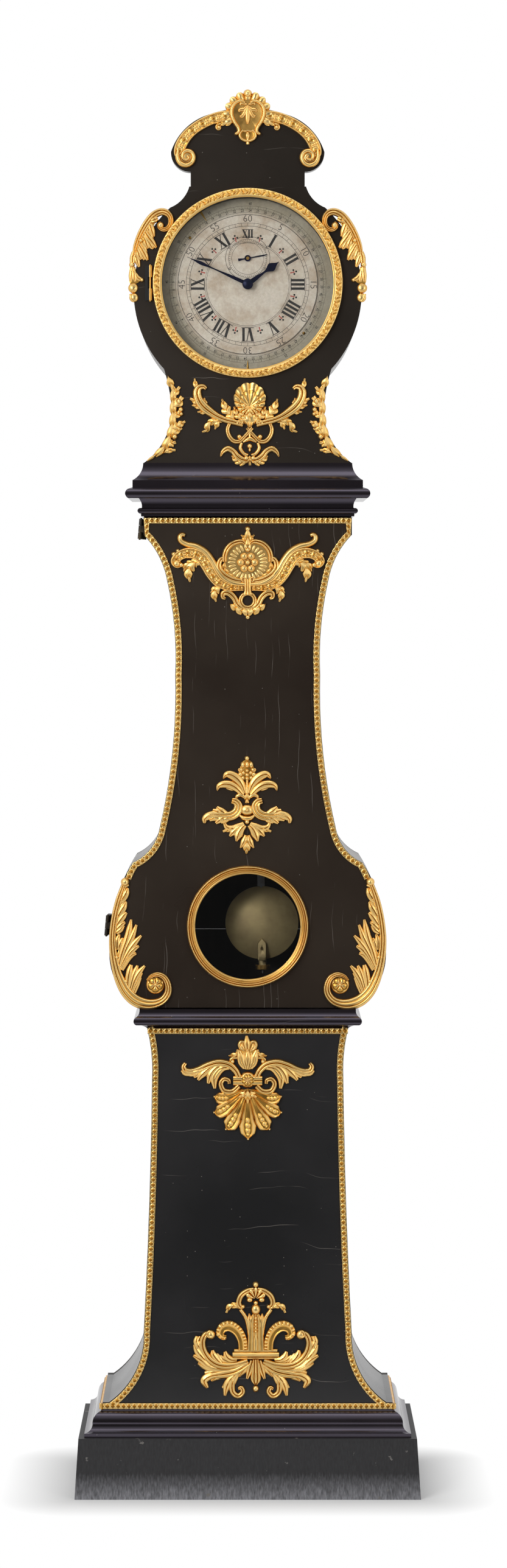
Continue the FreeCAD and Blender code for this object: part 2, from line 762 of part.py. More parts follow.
# Gilt border of the door: both sides and the top, down to the corner mounts.
door_strip = [("shoulder_width/2 + border_tail_spread - border_inset",
               "trunk_z + shoulder_rise - border_tail", (OUT, "border_inset"))]
door_strip += [("%s - border_inset" % x, z, edge) for x, z, edge in DOOR[2:]]
door_right = upright("door_border_right", [band(door_strip, "border_width")], *strip_span)
door_top = box("door_border_top", ("-(trunk_top_width/2 - border_inset)",
                                   "trunk_top_width/2 - border_inset"),
               strip_span, ("trunk_top_z - door_top_gap - border_width", "trunk_top_z - door_top_gap"))
keep("door_gilt_border", fuse("door_gilt_border", [door_right, mirror_x("door_border_left",
                                                                        door_right), door_top]))

# Door hinges: two on one slanted line, so that the door falls shut.
def on_hinge(thing, x, z, turn=Rotation()):
    """Place a piece on the slanted hinge line."""
    tilt = math.degrees(math.atan((number("hinge_upper_x") - number("hinge_lower_x"))
                                  / (number("hinge_upper_z") - number("hinge_lower_z"))))
    thing.Placement = Placement(Vector(number(x), number("hinge_axis_y"), number(z)),
                                Rotation(Vector(0, 1, 0), tilt) * turn)
    return thing


def shape_node(name, shape):
    thing = doc.addObject("Part::Feature", name)
    thing.Shape = shape
    return thing


def solid_box(span_x, span_y, span_z):
    """Plain block between two values on each axis."""
    size = [high - low for low, high in (span_x, span_y, span_z)]
    return Part.makeBox(size[0], size[1], size[2], Vector(span_x[0], span_y[0], span_z[0]))


def solid_rod(radius, y_from, y_to, x=0.0, z=0.0):
    """Plain round bar along Y."""
    return Part.makeCylinder(radius, y_to - y_from, Vector(x, y_from, z), Vector(0, 1, 0))


def fused(shapes):
    """One solid from overlapping solids."""
    return shapes[0].multiFuse(shapes[1:]).removeSplitter()


case_leaves, door_leaves, hinge_pins = [], [], []
knuckle = number("hinge_knuckle_radius")
pin = number("hinge_pin_radius")
bore = pin + number("running_clearance")
third = number("hinge_length")/3
strap = number("hinge_strap")/2
play = number("end_play")
half_length = number("hinge_length")/2
seat_reach = number("carcass_front_y - hinge_axis_y")
for tag, x, z in (("lower", "hinge_lower_x", "hinge_lower_z"),
                  ("upper", "hinge_upper_x", "hinge_upper_z")):
    wing = number("hinge_leaf_depth")
    reach = number("hinge_leaf_reach")
    hole = Part.makeCylinder(bore, 2*third*3, Vector(0, 0, -3*third))
    outer = []
    for low in (-half_length, half_length - third + play):
        outer.append(Part.makeCylinder(knuckle, third - play, Vector(0, 0, low)))
        outer.append(solid_box((-strap, strap), (0, reach), (low, low + third - play)))
    outer.append(solid_box((-strap, wing), (seat_reach, reach), (-half_length, half_length)))
    leaf = on_hinge(shape_node("case_leaf_" + tag, fused(outer).cut(hole)), x, z)
    case_leaves.append(cut("case_leaf_seated_" + tag, leaf, trunk_sides))
    inner = [Part.makeCylinder(knuckle, third - play, Vector(0, 0, (play - third)/2)),
             solid_box((0, wing), (-knuckle, seat_reach - 2*play - number("door_gap")),
                       ((play - third)/2, (third - play)/2))]
    leaf = on_hinge(shape_node("door_leaf_" + tag, fused(inner).cut(hole)), x, z)
    door_leaves.append(cut("door_leaf_seated_" + tag, leaf, trunk_door))
    hinge_pins.append(on_hinge(shape_node("hinge_pin_" + tag, Part.makeCylinder(
        pin, 2*half_length + knuckle, Vector(0, 0, -half_length - knuckle/2))), x, z))
keep("door_hinge_case_leaves", group("door_hinge_case_leaves", case_leaves))
keep("door_hinge_door_leaves", group("door_hinge_door_leaves", door_leaves))
keep("door_hinge_pins", group("door_hinge_pins", hinge_pins))

# Hood: moulding, front with the dial opening, sides, roof, back and pediment.
hood_block = moulded_block(
    "hood_moulding",
    [("hood_moulding_nose*0.82", "hood_moulding_z", (OUT, "hood_moulding_nose*0.18")),
     ("hood_moulding_nose*0.82", "hood_moulding_z + hood_moulding_height*0.27", None),
     ("hood_moulding_fascia", "hood_moulding_z + hood_moulding_height*0.31", None),
     ("hood_moulding_fascia", "hood_moulding_z + hood_moulding_height*0.51",
      (IN, "hood_moulding_height*0.08")),
     ("hood_moulding_fascia*0.05", "hood_z", None)],
    "hood_foot_width/2", "face_y", "hood_back_y")
frame_of_boards("hood_moulding", hood_block, "hood_moulding_z", "hood_z",
                "seat_half_width + end_play*10", "face_y + panel", "hood_back_y - board")
keep("hood_front", upright("hood_front", [both_sides(HOOD)], "face_y", "face_y + panel",
                           [("0", "dial_z", "dial_opening_radius")]))
hood_right = upright("hood_right", [band(HOOD, "board")], "face_y + panel", "hood_back_y - board")
roof_half = "hood_top_width/2 - board"
hood_roof = box("hood_roof", ("-(%s)" % roof_half, roof_half),
                ("face_y + panel", "hood_back_y - board"),
                ("hood_top_z - board", "hood_top_z"))
keep("hood_shell_boards", group("hood_shell_boards", [hood_right, mirror_x("hood_left", hood_right),
                                                      hood_roof]))
keep("hood_back_board", upright("hood_back_board", [both_sides(HOOD)], "hood_back_y - board",
                                "hood_back_y"))
keep("hood_pediment", upright("hood_pediment", [both_sides(PEDIMENT)], "face_y",
                              "face_y + pediment_thickness"))

# Dial door: gilt ring with a glass, on a pin hinge at the left.
bezel_ring = turned("bezel_ring", "XY_Plane", [
    ("bezel_sight_radius + bezel_rebate", "bezel_back_y", None),
    ("bezel_radius", "bezel_back_y", None),
    ("bezel_radius", "bezel_front_y + bezel_rebate", (OUT, "bezel_rebate*0.3")),
    ("bezel_radius - bezel_rebate", "bezel_front_y", None),
    ("bezel_sight_radius + bezel_rebate", "bezel_front_y", (OUT, "bezel_rebate*0.3")),
    ("bezel_sight_radius", "bezel_front_y + bezel_rebate", None),
    ("bezel_sight_radius", "bezel_back_y - bezel_rebate", None),
    ("bezel_sight_radius + bezel_rebate", "bezel_back_y - bezel_rebate", None)], "0", "0", "dial_z")
lug_half = "bezel_hinge_length/6 - end_play"
lug_arm = box("bezel_lug_arm", ("bezel_axis_x", "-(bezel_radius - bezel_rebate)"),
              ("bezel_axis_y - bezel_knuckle_radius/2", "bezel_axis_y + bezel_knuckle_radius/2"),
              ("dial_z - (%s)" % lug_half, "dial_z + (%s)" % lug_half))
lug_barrel = rod_z("bezel_lug_barrel", "bezel_knuckle_radius", "bezel_axis_x", "bezel_axis_y",
                   "dial_z - (%s)" % lug_half, "dial_z + (%s)" % lug_half)
lug_bore = rod_z("bezel_lug_bore", "bezel_pin_radius + running_clearance", "bezel_axis_x",
                 "bezel_axis_y",
                 "dial_z - bezel_hinge_length", "dial_z + bezel_hinge_length")
keep("dial_bezel", cut("dial_bezel", fuse("bezel_with_lug", [bezel_ring, lug_arm, lug_barrel]),
                       lug_bore))
keep("dial_glass", turned("dial_glass", "XY_Plane", [
    ("0", "bezel_back_y - bezel_rebate", None),
    ("bezel_sight_radius + bezel_rebate - running_clearance", "bezel_back_y - bezel_rebate", None),
    ("bezel_sight_radius + bezel_rebate - running_clearance",
     "bezel_back_y - bezel_rebate + glass_thickness", None),
    ("0", "bezel_back_y - bezel_rebate + glass_thickness", None)], "0", "0", "dial_z"))
hinge_leaf = box("bezel_leaf", ("bezel_axis_x - bezel_leaf_width", "bezel_axis_x"),
                 ("face_y - bezel_leaf_thickness", "face_y"),
                 ("dial_z - bezel_hinge_length/2", "dial_z + bezel_hinge_length/2"))
leaf_knuckles = [
    rod_z("bezel_knuckle_low", "bezel_knuckle_radius", "bezel_axis_x", "bezel_axis_y",
          "dial_z - bezel_hinge_length/2", "dial_z - bezel_hinge_length/6"),
    rod_z("bezel_knuckle_high", "bezel_knuckle_radius", "bezel_axis_x", "bezel_axis_y",
          "dial_z + bezel_hinge_length/6", "dial_z + bezel_hinge_length/2")]
leaf_room = box("bezel_leaf_room", ("bezel_axis_x - bezel_knuckle_radius - end_play",
                                    "bezel_axis_x + bezel_leaf_width"),
                ("face_y - bezel_depth", "face_y"),
                ("dial_z - bezel_hinge_length/6", "dial_z + bezel_hinge_length/6"))
leaf_whole = cut("bezel_leaf_cleared", fuse("bezel_leaf_knuckled", [hinge_leaf] + leaf_knuckles),
                 leaf_room)
leaf_bored = cut("bezel_leaf_bored", leaf_whole, lug_bore)
leaf_pin = rod_z("bezel_hinge_pin", "bezel_pin_radius", "bezel_axis_x", "bezel_axis_y",
                 "dial_z - bezel_hinge_length/2 - bezel_pin_radius",
                 "dial_z + bezel_hinge_length/2 + bezel_pin_radius")
keep("bezel_hinge", group("bezel_hinge", [leaf_bored, leaf_pin]))

# Dial: hour disc and back disc on one hub, with the calendar ring between them.
dial_blank = turned("dial_blank", "XY_Plane", [
    ("0", "dial_y", None),
    ("dial_radius", "dial_y", None),
    ("dial_radius", "dial_y + dial_thickness", None),
    ("calendar_bore_radius", "dial_y + dial_thickness", None),
    ("calendar_bore_radius", "dial_back_y", None),
    ("dial_back_radius", "dial_back_y", None),
    ("dial_back_radius", "dial_back_y + dial_back_thickness", None),
    ("0", "dial_back_y + dial_back_thickness", None)], "0", "0", "dial_z")
feet = [rod_y("dial_foot_%d" % index, "dial_foot_radius",
              "%s*dial_foot_ring*0.7" % side, "dial_z + %s*dial_foot_ring*0.7" % level,
              "dial_back_y + dial_back_thickness/2", "front_plate_y")
        for index, (side, level) in enumerate((("1", "1"), ("1", "-1"), ("-1", "1"), ("-1", "-1")))]
hour_pipe_radius = "2*arbor_radius + hand_thickness"
dial_holes = [
    rod_y("dial_centre_hole", "(%s) + end_play" % hour_pipe_radius, "0", "dial_z", "face_y",
          "front_plate_y"),
    rod_y("dial_seconds_hole", "arbor_radius + end_play", "0", "escape_z", "face_y", "front_plate_y")]
keep("dial_plate", cut("dial_plate", fuse("dial_footed", [dial_blank] + feet), fuse("dial_holes",
                                                                                    dial_holes)))
keep("calendar_ring", turned("calendar_ring", "XY_Plane", [
    ("calendar_bore_radius + running_clearance", "calendar_y", None),
    ("calendar_radius", "calendar_y", None),
    ("calendar_radius", "calendar_y + calendar_thickness", None),
    ("calendar_bore_radius + running_clearance", "calendar_y + calendar_thickness", None)], "0", "0",
                             "dial_z"))

# Movement plates: the back plate carries the riveted pillars.
plate_span = (("-(plate_width/2)", "plate_width/2"), ("dial_z - plate_drop", "dial_z + plate_crown"))
front_plain = box("front_plate_plain", plate_span[0], ("front_plate_y", "movement_y"), plate_span[1])
back_plain = box("back_plate_plain", plate_span[0], ("back_plate_y", "movement_back_y"), plate_span[1])
pillars = []
for index, side in enumerate(("-1", "1")):
    for level in ("dial_z - plate_drop + pillar_margin", "dial_z + plate_crown - pillar_margin"):
        pillars.append(rod_y("pillar_%d" % len(pillars), "pillar_radius",
                             "%s*(plate_width/2 - pillar_margin)" % side, level, "movement_y",
                             "back_plate_y"))
ARBORS = (("great", "0", "great_z"), ("centre", "0", "dial_z"), ("third", "third_x", "third_z"),
          ("escape", "0", "escape_z"), ("pallet", "0", "pivot_z"))
front_holes = [rod_y("front_hole_" + tag, "arbor_radius + running_clearance", x, z, "face_y", "back_y")
               for tag, x, z in ARBORS]
back_holes = [rod_y("back_hole_" + tag, "arbor_radius + running_clearance", x, z, "face_y", "back_y")
              for tag, x, z in ARBORS]
keep("movement_front_plate", cut("movement_front_plate", front_plain, fuse("front_holes", front_holes)))
keep("movement_back_plate", cut("movement_back_plate", fuse("back_plate_pillared",
                                                            [back_plain] + pillars),
                                fuse("back_holes", back_holes)))


def toothed(teeth, module, y_from, y_to, point_deg, gap_first=False, hole=0.0):
    """Wheel or pinion along Y with thin straight teeth, one tooth or one gap at a given angle."""
    pitch = 2*math.pi/teeth
    root = module*(teeth/2 - 1.15)
    tip = module*(teeth/2 + 0.75)
    start = math.radians(point_deg) + (pitch/2 if gap_first else 0.0)
    flanks = ((root, -0.24), (tip, -0.08), (tip, 0.08), (root, 0.24))
    corners = []
    for index in range(teeth):
        for radius, share in flanks:
            angle = start + (index + share)*pitch
            corners.append(Vector(radius*math.cos(angle), y_from, radius*math.sin(angle)))
    face = Part.Face(Part.makePolygon(corners + corners[:1]))
    solid = face.extrude(Vector(0, y_to - y_from, 0))
    if hole > 0:
        solid = solid.cut(solid_rod(hole, y_from - 1, y_to + 1))
    return solid


def crossed_out(wheel, hub, rim, y_from, y_to, arms):
    """Lighten a wheel with a ring of round holes between hub and rim."""
    hole_radius = 0.38*(rim - hub)
    middle = (rim + hub)/2
    for index in range(arms):
        angle = 2*math.pi*(index + 0.5)/arms
        wheel = wheel.cut(solid_rod(hole_radius, y_from - 1, y_to + 1, middle*math.cos(angle),
                                    middle*math.sin(angle)))
    return wheel


def set_on(thing, x, z, turn_deg=0.0, y=0.0):
    """Place a piece that is modelled about its own arbor, turned clockwise as seen from the front."""
    thing.Placement = Placement(Vector(number(x), y, number(z)), Rotation(Vector(0, 1, 0), turn_deg))
    return thing


def wheel_node(label, x, z, solids):
    """Arbor with its wheels."""
    return keep(label, set_on(shape_node(label, Part.makeCompound(solids)), x, z))


arbor = number("arbor_radius")
thick = number("wheel_thickness")
pinion_length = number("pinion_length")
plate_front = number("front_plate_y")
plate_inside = number("movement_y")
plate_back = number("back_plate_y")
plate_outside = number("movement_back_y")
WHEEL_ARMS = 5

# Directions between arbors, measured from +X towards +Z.
to_third = math.degrees(math.atan2(number("third_rise"), number("third_x")))
third_to_escape = math.degrees(math.atan2(number("escape_z - third_z"), -number("third_x")))

# Great wheel on its arbor, with the winding barrel free on the same arbor.
y_great = number("great_wheel_y")
great_rim = number("great_module")*(GREAT_TEETH/2 - 2.5)
great = crossed_out(toothed(GREAT_TEETH, number("great_module"), y_great, y_great + thick, 90.0,
                            hole=arbor),
                    3*arbor, great_rim, y_great, y_great + thick, WHEEL_ARMS)
wheel_node("great_wheel", "0", "great_z", [great, solid_rod(arbor, plate_front, plate_outside)])
y_barrel = number("barrel_y")
y_barrel_end = y_barrel + number("barrel_length")
flange = number("barrel_flange")
rim_width = number("end_play")*4
barrel = fused([solid_rod(number("barrel_radius"), y_barrel, y_barrel_end),
                solid_rod(flange, y_barrel, y_barrel + rim_width),
                solid_rod(flange, y_barrel_end - rim_width, y_barrel_end)])
barrel = barrel.cut(solid_rod(arbor + number("running_clearance"), y_barrel - 1, y_barrel_end + 1))
wheel_node("winding_barrel", "0", "great_z", [barrel])

# Centre arbor: pinion under the great wheel, centre wheel, long front end for the hands.
y_centre = number("centre_wheel_y")
centre_rim = number("centre_module")*(CENTRE_TEETH/2 - 2.5)
centre = crossed_out(toothed(CENTRE_TEETH, number("centre_module"), y_centre, y_centre + thick,
                             to_third, hole=arbor),
                     3*arbor, centre_rim, y_centre, y_centre + thick, WHEEL_ARMS)
hand_front = number("dial_y - minute_hand_lift - 3*hand_thickness")
wheel_node("centre_wheel", "0", "dial_z", [
    centre,
    fused([solid_rod(arbor, hand_front, plate_outside),
           toothed(CENTRE_LEAVES, number("great_module"), y_great - thick/2, y_great + 1.5*thick, -90.0,
                   gap_first=True)])])

# Third arbor.
y_third = number("third_wheel_y")
third_rim = number("third_module")*(THIRD_TEETH/2 - 2.5)
third_wheel = crossed_out(toothed(THIRD_TEETH, number("third_module"), y_third, y_third + thick,
                                  third_to_escape,
                                  hole=arbor), 3*arbor, third_rim, y_third, y_third + thick, WHEEL_ARMS)
wheel_node("third_wheel", "third_x", "third_z", [
    third_wheel,
    fused([solid_rod(arbor, plate_front, plate_outside),
           toothed(THIRD_LEAVES, number("centre_module"), y_centre - thick/2, y_centre + 1.5*thick,
                   to_third + 180.0, gap_first=True)])])

# Escape wheel with raked teeth; its arbor carries the seconds hand in front of the dial.
y_escape = number("escape_wheel_y")
y_escape_end = y_escape + number("escape_thickness")
escape_tip = number("escape_radius")
escape_root = 0.82*escape_tip
corners = []
for index in range(ESCAPE_TEETH):
    for radius, share in ((escape_root, 0.0), (escape_tip, 0.42), (escape_tip, 0.5),
                          (escape_root, 0.55)):
        angle = 2*math.pi*(index + share)/ESCAPE_TEETH
        corners.append(Vector(radius*math.cos(angle), y_escape, radius*math.sin(angle)))
escape = Part.Face(Part.makePolygon(corners + corners[:1])).extrude(Vector(0, y_escape_end - y_escape,
                                                                           0))
escape = crossed_out(escape.cut(solid_rod(arbor, y_escape - 1, y_escape_end + 1)), 2*arbor,
                     0.9*escape_root,
                     y_escape, y_escape_end, WHEEL_ARMS)
seconds_front = number("dial_y - seconds_hand_lift - 2*hand_thickness")
wheel_node("escape_wheel", "0", "escape_z", [
    escape,
    fused([solid_rod(arbor, seconds_front, plate_outside),
           toothed(ESCAPE_LEAVES, number("third_module"), y_third - thick/2, y_third + 1.5*thick,
                   third_to_escape + 180.0, gap_first=True)])])

# Anchor: two pallets that clear the escape wheel's tips, arbor and crutch.
pallet_rise = number("pallet_rise")
pallet_radius = escape_tip + number("pallet_clear")
nib = pallet_radius*math.sin(math.radians(45))
anchor_width = 2*arbor
nib_z = nib - pallet_rise
right_side = [(nib, nib_z), (nib + anchor_width, nib_z + anchor_width), (anchor_width, anchor_width)]
arch_radius = pallet_radius + anchor_width/2
arch_deg = 22.5
arch = (arch_radius*math.sin(math.radians(arch_deg)), arch_radius*math.cos(math.radians(arch_deg)) - pallet_rise)
right_side = [(0.0, arch_radius + number("pallet_clear") - pallet_rise), arch] + right_side
outline = right_side + [(-x, z) for x, z in right_side[:0:-1]]
corners = [Vector(x, y_escape, z) for x, z in outline]
anchor_arms = Part.Face(Part.makePolygon(corners + corners[:1])).extrude(Vector(0,
                                                                                y_escape_end - y_escape, 0))
crutch_half = number("crutch_width")/2
crutch_y = plate_outside + 2*thick
crutch_drop = number("crutch_length")
crutch_pin = number("crutch_pin_radius")
rod_back = number("pendulum_y + rod_thickness")
anchor = fused([
    anchor_arms,
    solid_rod(arbor, plate_front, crutch_y + thick),
    solid_box((-crutch_half, crutch_half), (crutch_y, crutch_y + thick),
              (-crutch_drop - crutch_half, crutch_half)),
    solid_rod(crutch_pin, crutch_y, rod_back, 0.0, -crutch_drop)])
keep("pallet_anchor", set_on(shape_node("pallet_anchor", anchor), "0", "pivot_z", -PENDULUM_REST_DEG))

# Motion work between the front plate and the dial.
clearance = number("running_clearance")
motion_module = number("motion_module")
hour_module = motion_module*MOTION_TEETH_SUM/HOUR_TEETH_SUM
pipe = arbor + number("hand_thickness")
hour_pipe = number(hour_pipe_radius)
cannon_back = plate_front - number("end_play")
minute_front = number("dial_y - minute_hand_lift - hand_thickness")
hour_front = number("dial_y - hour_hand_lift - hand_thickness")
hour_back = cannon_back - 2*thick - number("end_play")
cannon = fused([solid_rod(pipe, minute_front, cannon_back),
                toothed(CANNON_TEETH, motion_module, cannon_back - thick, cannon_back, 0.0)])
wheel_node("cannon_pinion", "0", "dial_z", [cannon.cut(solid_rod(arbor + clearance, minute_front - 1,
                                                                 cannon_back + 1))])
minute_pinion_front = hour_back - thick
minute = fused([toothed(MINUTE_TEETH, motion_module, cannon_back - thick, cannon_back, 180.0,
                        gap_first=True),
                toothed(MINUTE_LEAVES, hour_module, minute_pinion_front, cannon_back, 180.0),
                solid_rod(arbor*0.6, minute_pinion_front - thick, plate_front)])
wheel_node("minute_wheel", "motion_mesh", "dial_z", [minute])
hour = fused([toothed(HOUR_TEETH, hour_module, hour_back - thick, hour_back, 0.0, gap_first=True),
              solid_rod(hour_pipe, hour_front, hour_back)])
wheel_node("hour_wheel", "0", "dial_z", [hour.cut(solid_rod(pipe + clearance, hour_front - 1,
                                                            hour_back + 1))])


def ribbon(points, relief):
    """Raised strip in the front plane: each point is x, z and the strip's width there."""
    places = [Vector(x, 0, z) for x, z, width in points]
    left, right = [], []
    for index, (x, z, width) in enumerate(points):
        way = places[min(index + 1, len(points) - 1)] - places[max(index - 1, 0)]
        side = Vector(-way.z, 0, way.x).normalize()*(width/2)
        left.append(places[index] + side)
        right.append(places[index] - side)
    edges = []
    for line in (left, right[::-1]):
        curve = Part.BSplineCurve()
        curve.interpolate(line)
        edges.append(curve.toShape())
    edges.insert(1, Part.makeLine(left[-1], right[-1]))
    edges.append(Part.makeLine(right[0], left[0]))
    face = Part.Face(Part.Wire(edges))
    return face.extrude(Vector(0, -relief, 0))


# Hands of blued steel.
hand = number("hand_thickness")
minute_tip = number("minute_hand_length")
hour_tip = number("hour_hand_length")
seconds_tip = number("seconds_hand_length")
boss = number("hand_boss_radius")


def hand_node(label, shapes, hole, z, turn_deg, y_back):
    """Hand with its boss, modelled upright with its back in the plane y = 0."""
    solid = fused(shapes).cut(solid_rod(hole, -4*boss, 4*boss))
    return keep(label, set_on(shape_node(label, solid), "0", z, turn_deg, y_back))


MINUTE_DEG = 6*MINUTE_READING
HOUR_DEG = 30*(HOUR_READING + MINUTE_READING/60)
SECOND_DEG = 6*SECOND_READING
hand_node("minute_hand", [
    ribbon([(0, 0, 0.6*boss), (0, 0.3*minute_tip, 4.2), (0, 0.68*minute_tip, 3.4),
            (0, 0.78*minute_tip, 5.2),
            (0, 0.86*minute_tip, 3.0), (0, minute_tip, 0.8)], hand),
    solid_rod(boss, -2*hand, 0)], arbor + clearance, "dial_z", MINUTE_DEG, minute_front)
hand_node("hour_hand", [
    ribbon([(0, 0, 0.6*boss), (0, 0.45*hour_tip, 3.6), (0, 0.62*hour_tip, 5.0),
            (0, 0.76*hour_tip, 13.0),
            (0, 0.9*hour_tip, 5.0), (0, hour_tip, 1.0)], hand),
    solid_rod(boss, -hand, 0)], pipe + clearance, "dial_z", HOUR_DEG, hour_front)
hand_node("seconds_hand", [
    ribbon([(0, -0.48*seconds_tip, 4.4), (0, -0.2*seconds_tip, 1.8), (0, 0.6*seconds_tip, 2.0),
            (0, seconds_tip, 0.7)], hand),
    solid_rod(2*arbor, -hand, 0)], arbor, "escape_z", SECOND_DEG, seconds_front + 2*hand)

# Knife-edge suspension on a bracket behind the back plate.
bracket_block = box("bracket_block", ("-bracket_half_width", "bracket_half_width"),
                    ("movement_back_y", "pendulum_y + bracket_well/2 + bracket_cheek"),
                    ("pivot_z - bracket_height", "pivot_z + 0.6*knife_height"))
well_half = "bracket_half_width - bracket_rail"
bracket_wells = [
    box("bracket_rod_well", ("-(%s)" % well_half, well_half),
        ("pendulum_y - bracket_well/2", "pendulum_y + bracket_well/2"),
        ("pivot_z - 2*bracket_height", "pivot_z + knife_height")),
    box("bracket_crutch_well", ("-(%s)" % well_half, well_half),
        ("movement_back_y - bracket_cheek", "pendulum_y - bracket_well/2 - bracket_cheek"),
        ("pivot_z - 2*bracket_height", "pivot_z + knife_height"))]
groove_loop = [("0", "pivot_z - running_clearance", None),
               ("3*knife_half_width", "pivot_z + knife_height", None),
               ("-3*knife_half_width", "pivot_z + knife_height", None)]
groove, groove_sketch = prism("bracket_groove", FRONT_VIEW, groove_loop, "2*plinth_depth", True)
keep("suspension_bracket", cut("suspension_bracket", bracket_block, fuse("bracket_cuts",
                                                                         bracket_wells + [groove])))


def on_pendulum(thing):
    """Hang a piece that is modelled upright from the suspension, swung as at rest."""
    turn = Rotation(Vector(0, 1, 0), -PENDULUM_REST_DEG)
    thing.Placement = Placement(Vector(0, 0, number("pivot_z")), turn)
    return thing


rod_mid = number("pendulum_y")
rod_half = number("rod_width")/2
rod_back = number("rod_thickness")/2
knife_half = number("knife_length")/2
knife_width = number("knife_half_width")
knife_high = number("knife_height")
bob_drop = number("pendulum_length")
bob_radius = number("bob_radius")
flat_end = -bob_drop - 0.6*bob_radius
rod_end = -bob_drop - number("rod_tail")
head = number("rod_head")
knife_face = Part.Face(Part.makePolygon([
    Vector(0, rod_mid - knife_half, 0), Vector(knife_width, rod_mid - knife_half, knife_high),
    Vector(-knife_width, rod_mid - knife_half, knife_high), Vector(0, rod_mid - knife_half, 0)]))
knife = knife_face.extrude(Vector(0, 2*knife_half, 0))
keep("knife_edge", on_pendulum(shape_node("knife_edge", knife)))
screw = number("rod_screw_radius")
head_half = number("bracket_well")/2 - number("end_play")*4
rod = fused([
    solid_box((-rod_half, rod_half), (rod_mid - rod_back, rod_mid + rod_back), (flat_end, head)),
    solid_box((-rod_half, rod_half), (rod_mid - head_half, rod_mid + head_half), (-head/2, head)),
    Part.makeCylinder(screw, flat_end + 2*screw - rod_end, Vector(0, rod_mid, rod_end))])
rod = rod.cut(knife).cut(solid_rod(crutch_pin + number("crutch_clear"), rod_mid - head, rod_mid + head,
                                   0.0, -crutch_drop))
keep("pendulum_rod", on_pendulum(shape_node("pendulum_rod", rod)))

# Lens bob with a channel for the rod and a collar that stands on the rating nut.
rim = number("bob_rim")/2
swell = number("bob_half_thickness")
cap_high = swell - rim
cap_radius = (bob_radius**2 + cap_high**2)/(2*cap_high)
half_way = bob_radius/2
cap_mid = swell - cap_radius + math.sqrt(cap_radius**2 - half_way**2)
lens_edges = [
    Part.Arc(Vector(0, -swell, 0), Vector(half_way, -cap_mid, 0),
             Vector(bob_radius, -rim, 0)).toShape(),
    Part.makeLine(Vector(bob_radius, -rim, 0), Vector(bob_radius, rim, 0)),
    Part.Arc(Vector(bob_radius, rim, 0), Vector(half_way, cap_mid, 0), Vector(0, swell, 0)).toShape(),
    Part.makeLine(Vector(0, swell, 0), Vector(0, -swell, 0))]
lens = Part.Face(Part.Wire(lens_edges)).revolve(Vector(), Vector(0, 1, 0), 360)
lens.translate(Vector(0, rod_mid, -bob_drop))
nut_top = -bob_drop - number("nut_drop")
collar = Part.makeCylinder(number("bob_collar_radius"), -bob_drop - 0.9*bob_radius - nut_top,
                           Vector(0, rod_mid, nut_top))
fit = number("crutch_clear")
channel = solid_box((-rod_half - fit, rod_half + fit), (rod_mid - rod_back - fit,
                                                        rod_mid + rod_back + fit),
                    (flat_end - fit, -bob_drop + 2*bob_radius))
screw_hole = Part.makeCylinder(screw + clearance, 4*bob_radius,
                               Vector(0, rod_mid, -bob_drop - 3*bob_radius))
keep("pendulum_bob", on_pendulum(shape_node("pendulum_bob", fused([lens,
                                                                   collar]).cut(channel).cut(screw_hole))))
nut = Part.makeCylinder(number("nut_radius"), number("nut_height"),
                        Vector(0, rod_mid, nut_top - clearance - number("nut_height")))
keep("rating_nut", on_pendulum(shape_node("rating_nut", nut.cut(screw_hole))))

# Drive weight with the yoke and axle of its pulley.
weight_body = turned("weight_body", "XZ_Plane", [
    ("0", "0", None),
    ("weight_radius - yoke_thickness", "0", None),
    ("weight_radius", "yoke_thickness", None),
    ("weight_radius", "weight_height - yoke_thickness", None),
    ("weight_radius - yoke_thickness", "weight_height", None),
    ("0", "weight_height", None)], "pulley_x", "line_y", "weight_z")
cheek_in = "pulley_width/2 + end_play"
yoke_foot = box("yoke_foot", ("pulley_x - yoke_width/2", "pulley_x + yoke_width/2"),
                ("line_y - (%s) - yoke_thickness" % cheek_in,
                 "line_y + (%s) + yoke_thickness" % cheek_in),
                ("weight_z + weight_height", "weight_z + weight_height + yoke_thickness"))
yoke_cheeks = [box("yoke_cheek_%d" % index, ("pulley_x - yoke_width/2", "pulley_x + yoke_width/2"),
                   span,
                   ("weight_z + weight_height", "pulley_z + yoke_width/2"))
               for index, span in enumerate((
                   ("line_y - (%s) - yoke_thickness" % cheek_in, "line_y - (%s)" % cheek_in),
                   ("line_y + (%s)" % cheek_in, "line_y + (%s) + yoke_thickness" % cheek_in)))]
yoke_axle = rod_y("yoke_axle", "pulley_axle_radius", "pulley_x", "pulley_z",
                  "line_y - (%s) - yoke_thickness" % cheek_in,
                  "line_y + (%s) + yoke_thickness" % cheek_in)
keep("drive_weight", fuse("drive_weight", [weight_body, yoke_foot] + yoke_cheeks + [yoke_axle]))
keep("weight_pulley", turned("weight_pulley", "XY_Plane", [
    ("pulley_axle_radius + running_clearance", "-pulley_width/2", None),
    ("pulley_flange_radius", "-pulley_width/2", None),
    ("pulley_flange_radius", "-pulley_groove_width/2", None),
    ("pulley_groove_radius", "-pulley_groove_width/2", None),
    ("pulley_groove_radius", "pulley_groove_width/2", None),
    ("pulley_flange_radius", "pulley_groove_width/2", None),
    ("pulley_flange_radius", "pulley_width/2", None),
    ("pulley_axle_radius + running_clearance", "pulley_width/2", None)], "pulley_x", "line_y",
                             "pulley_z"))

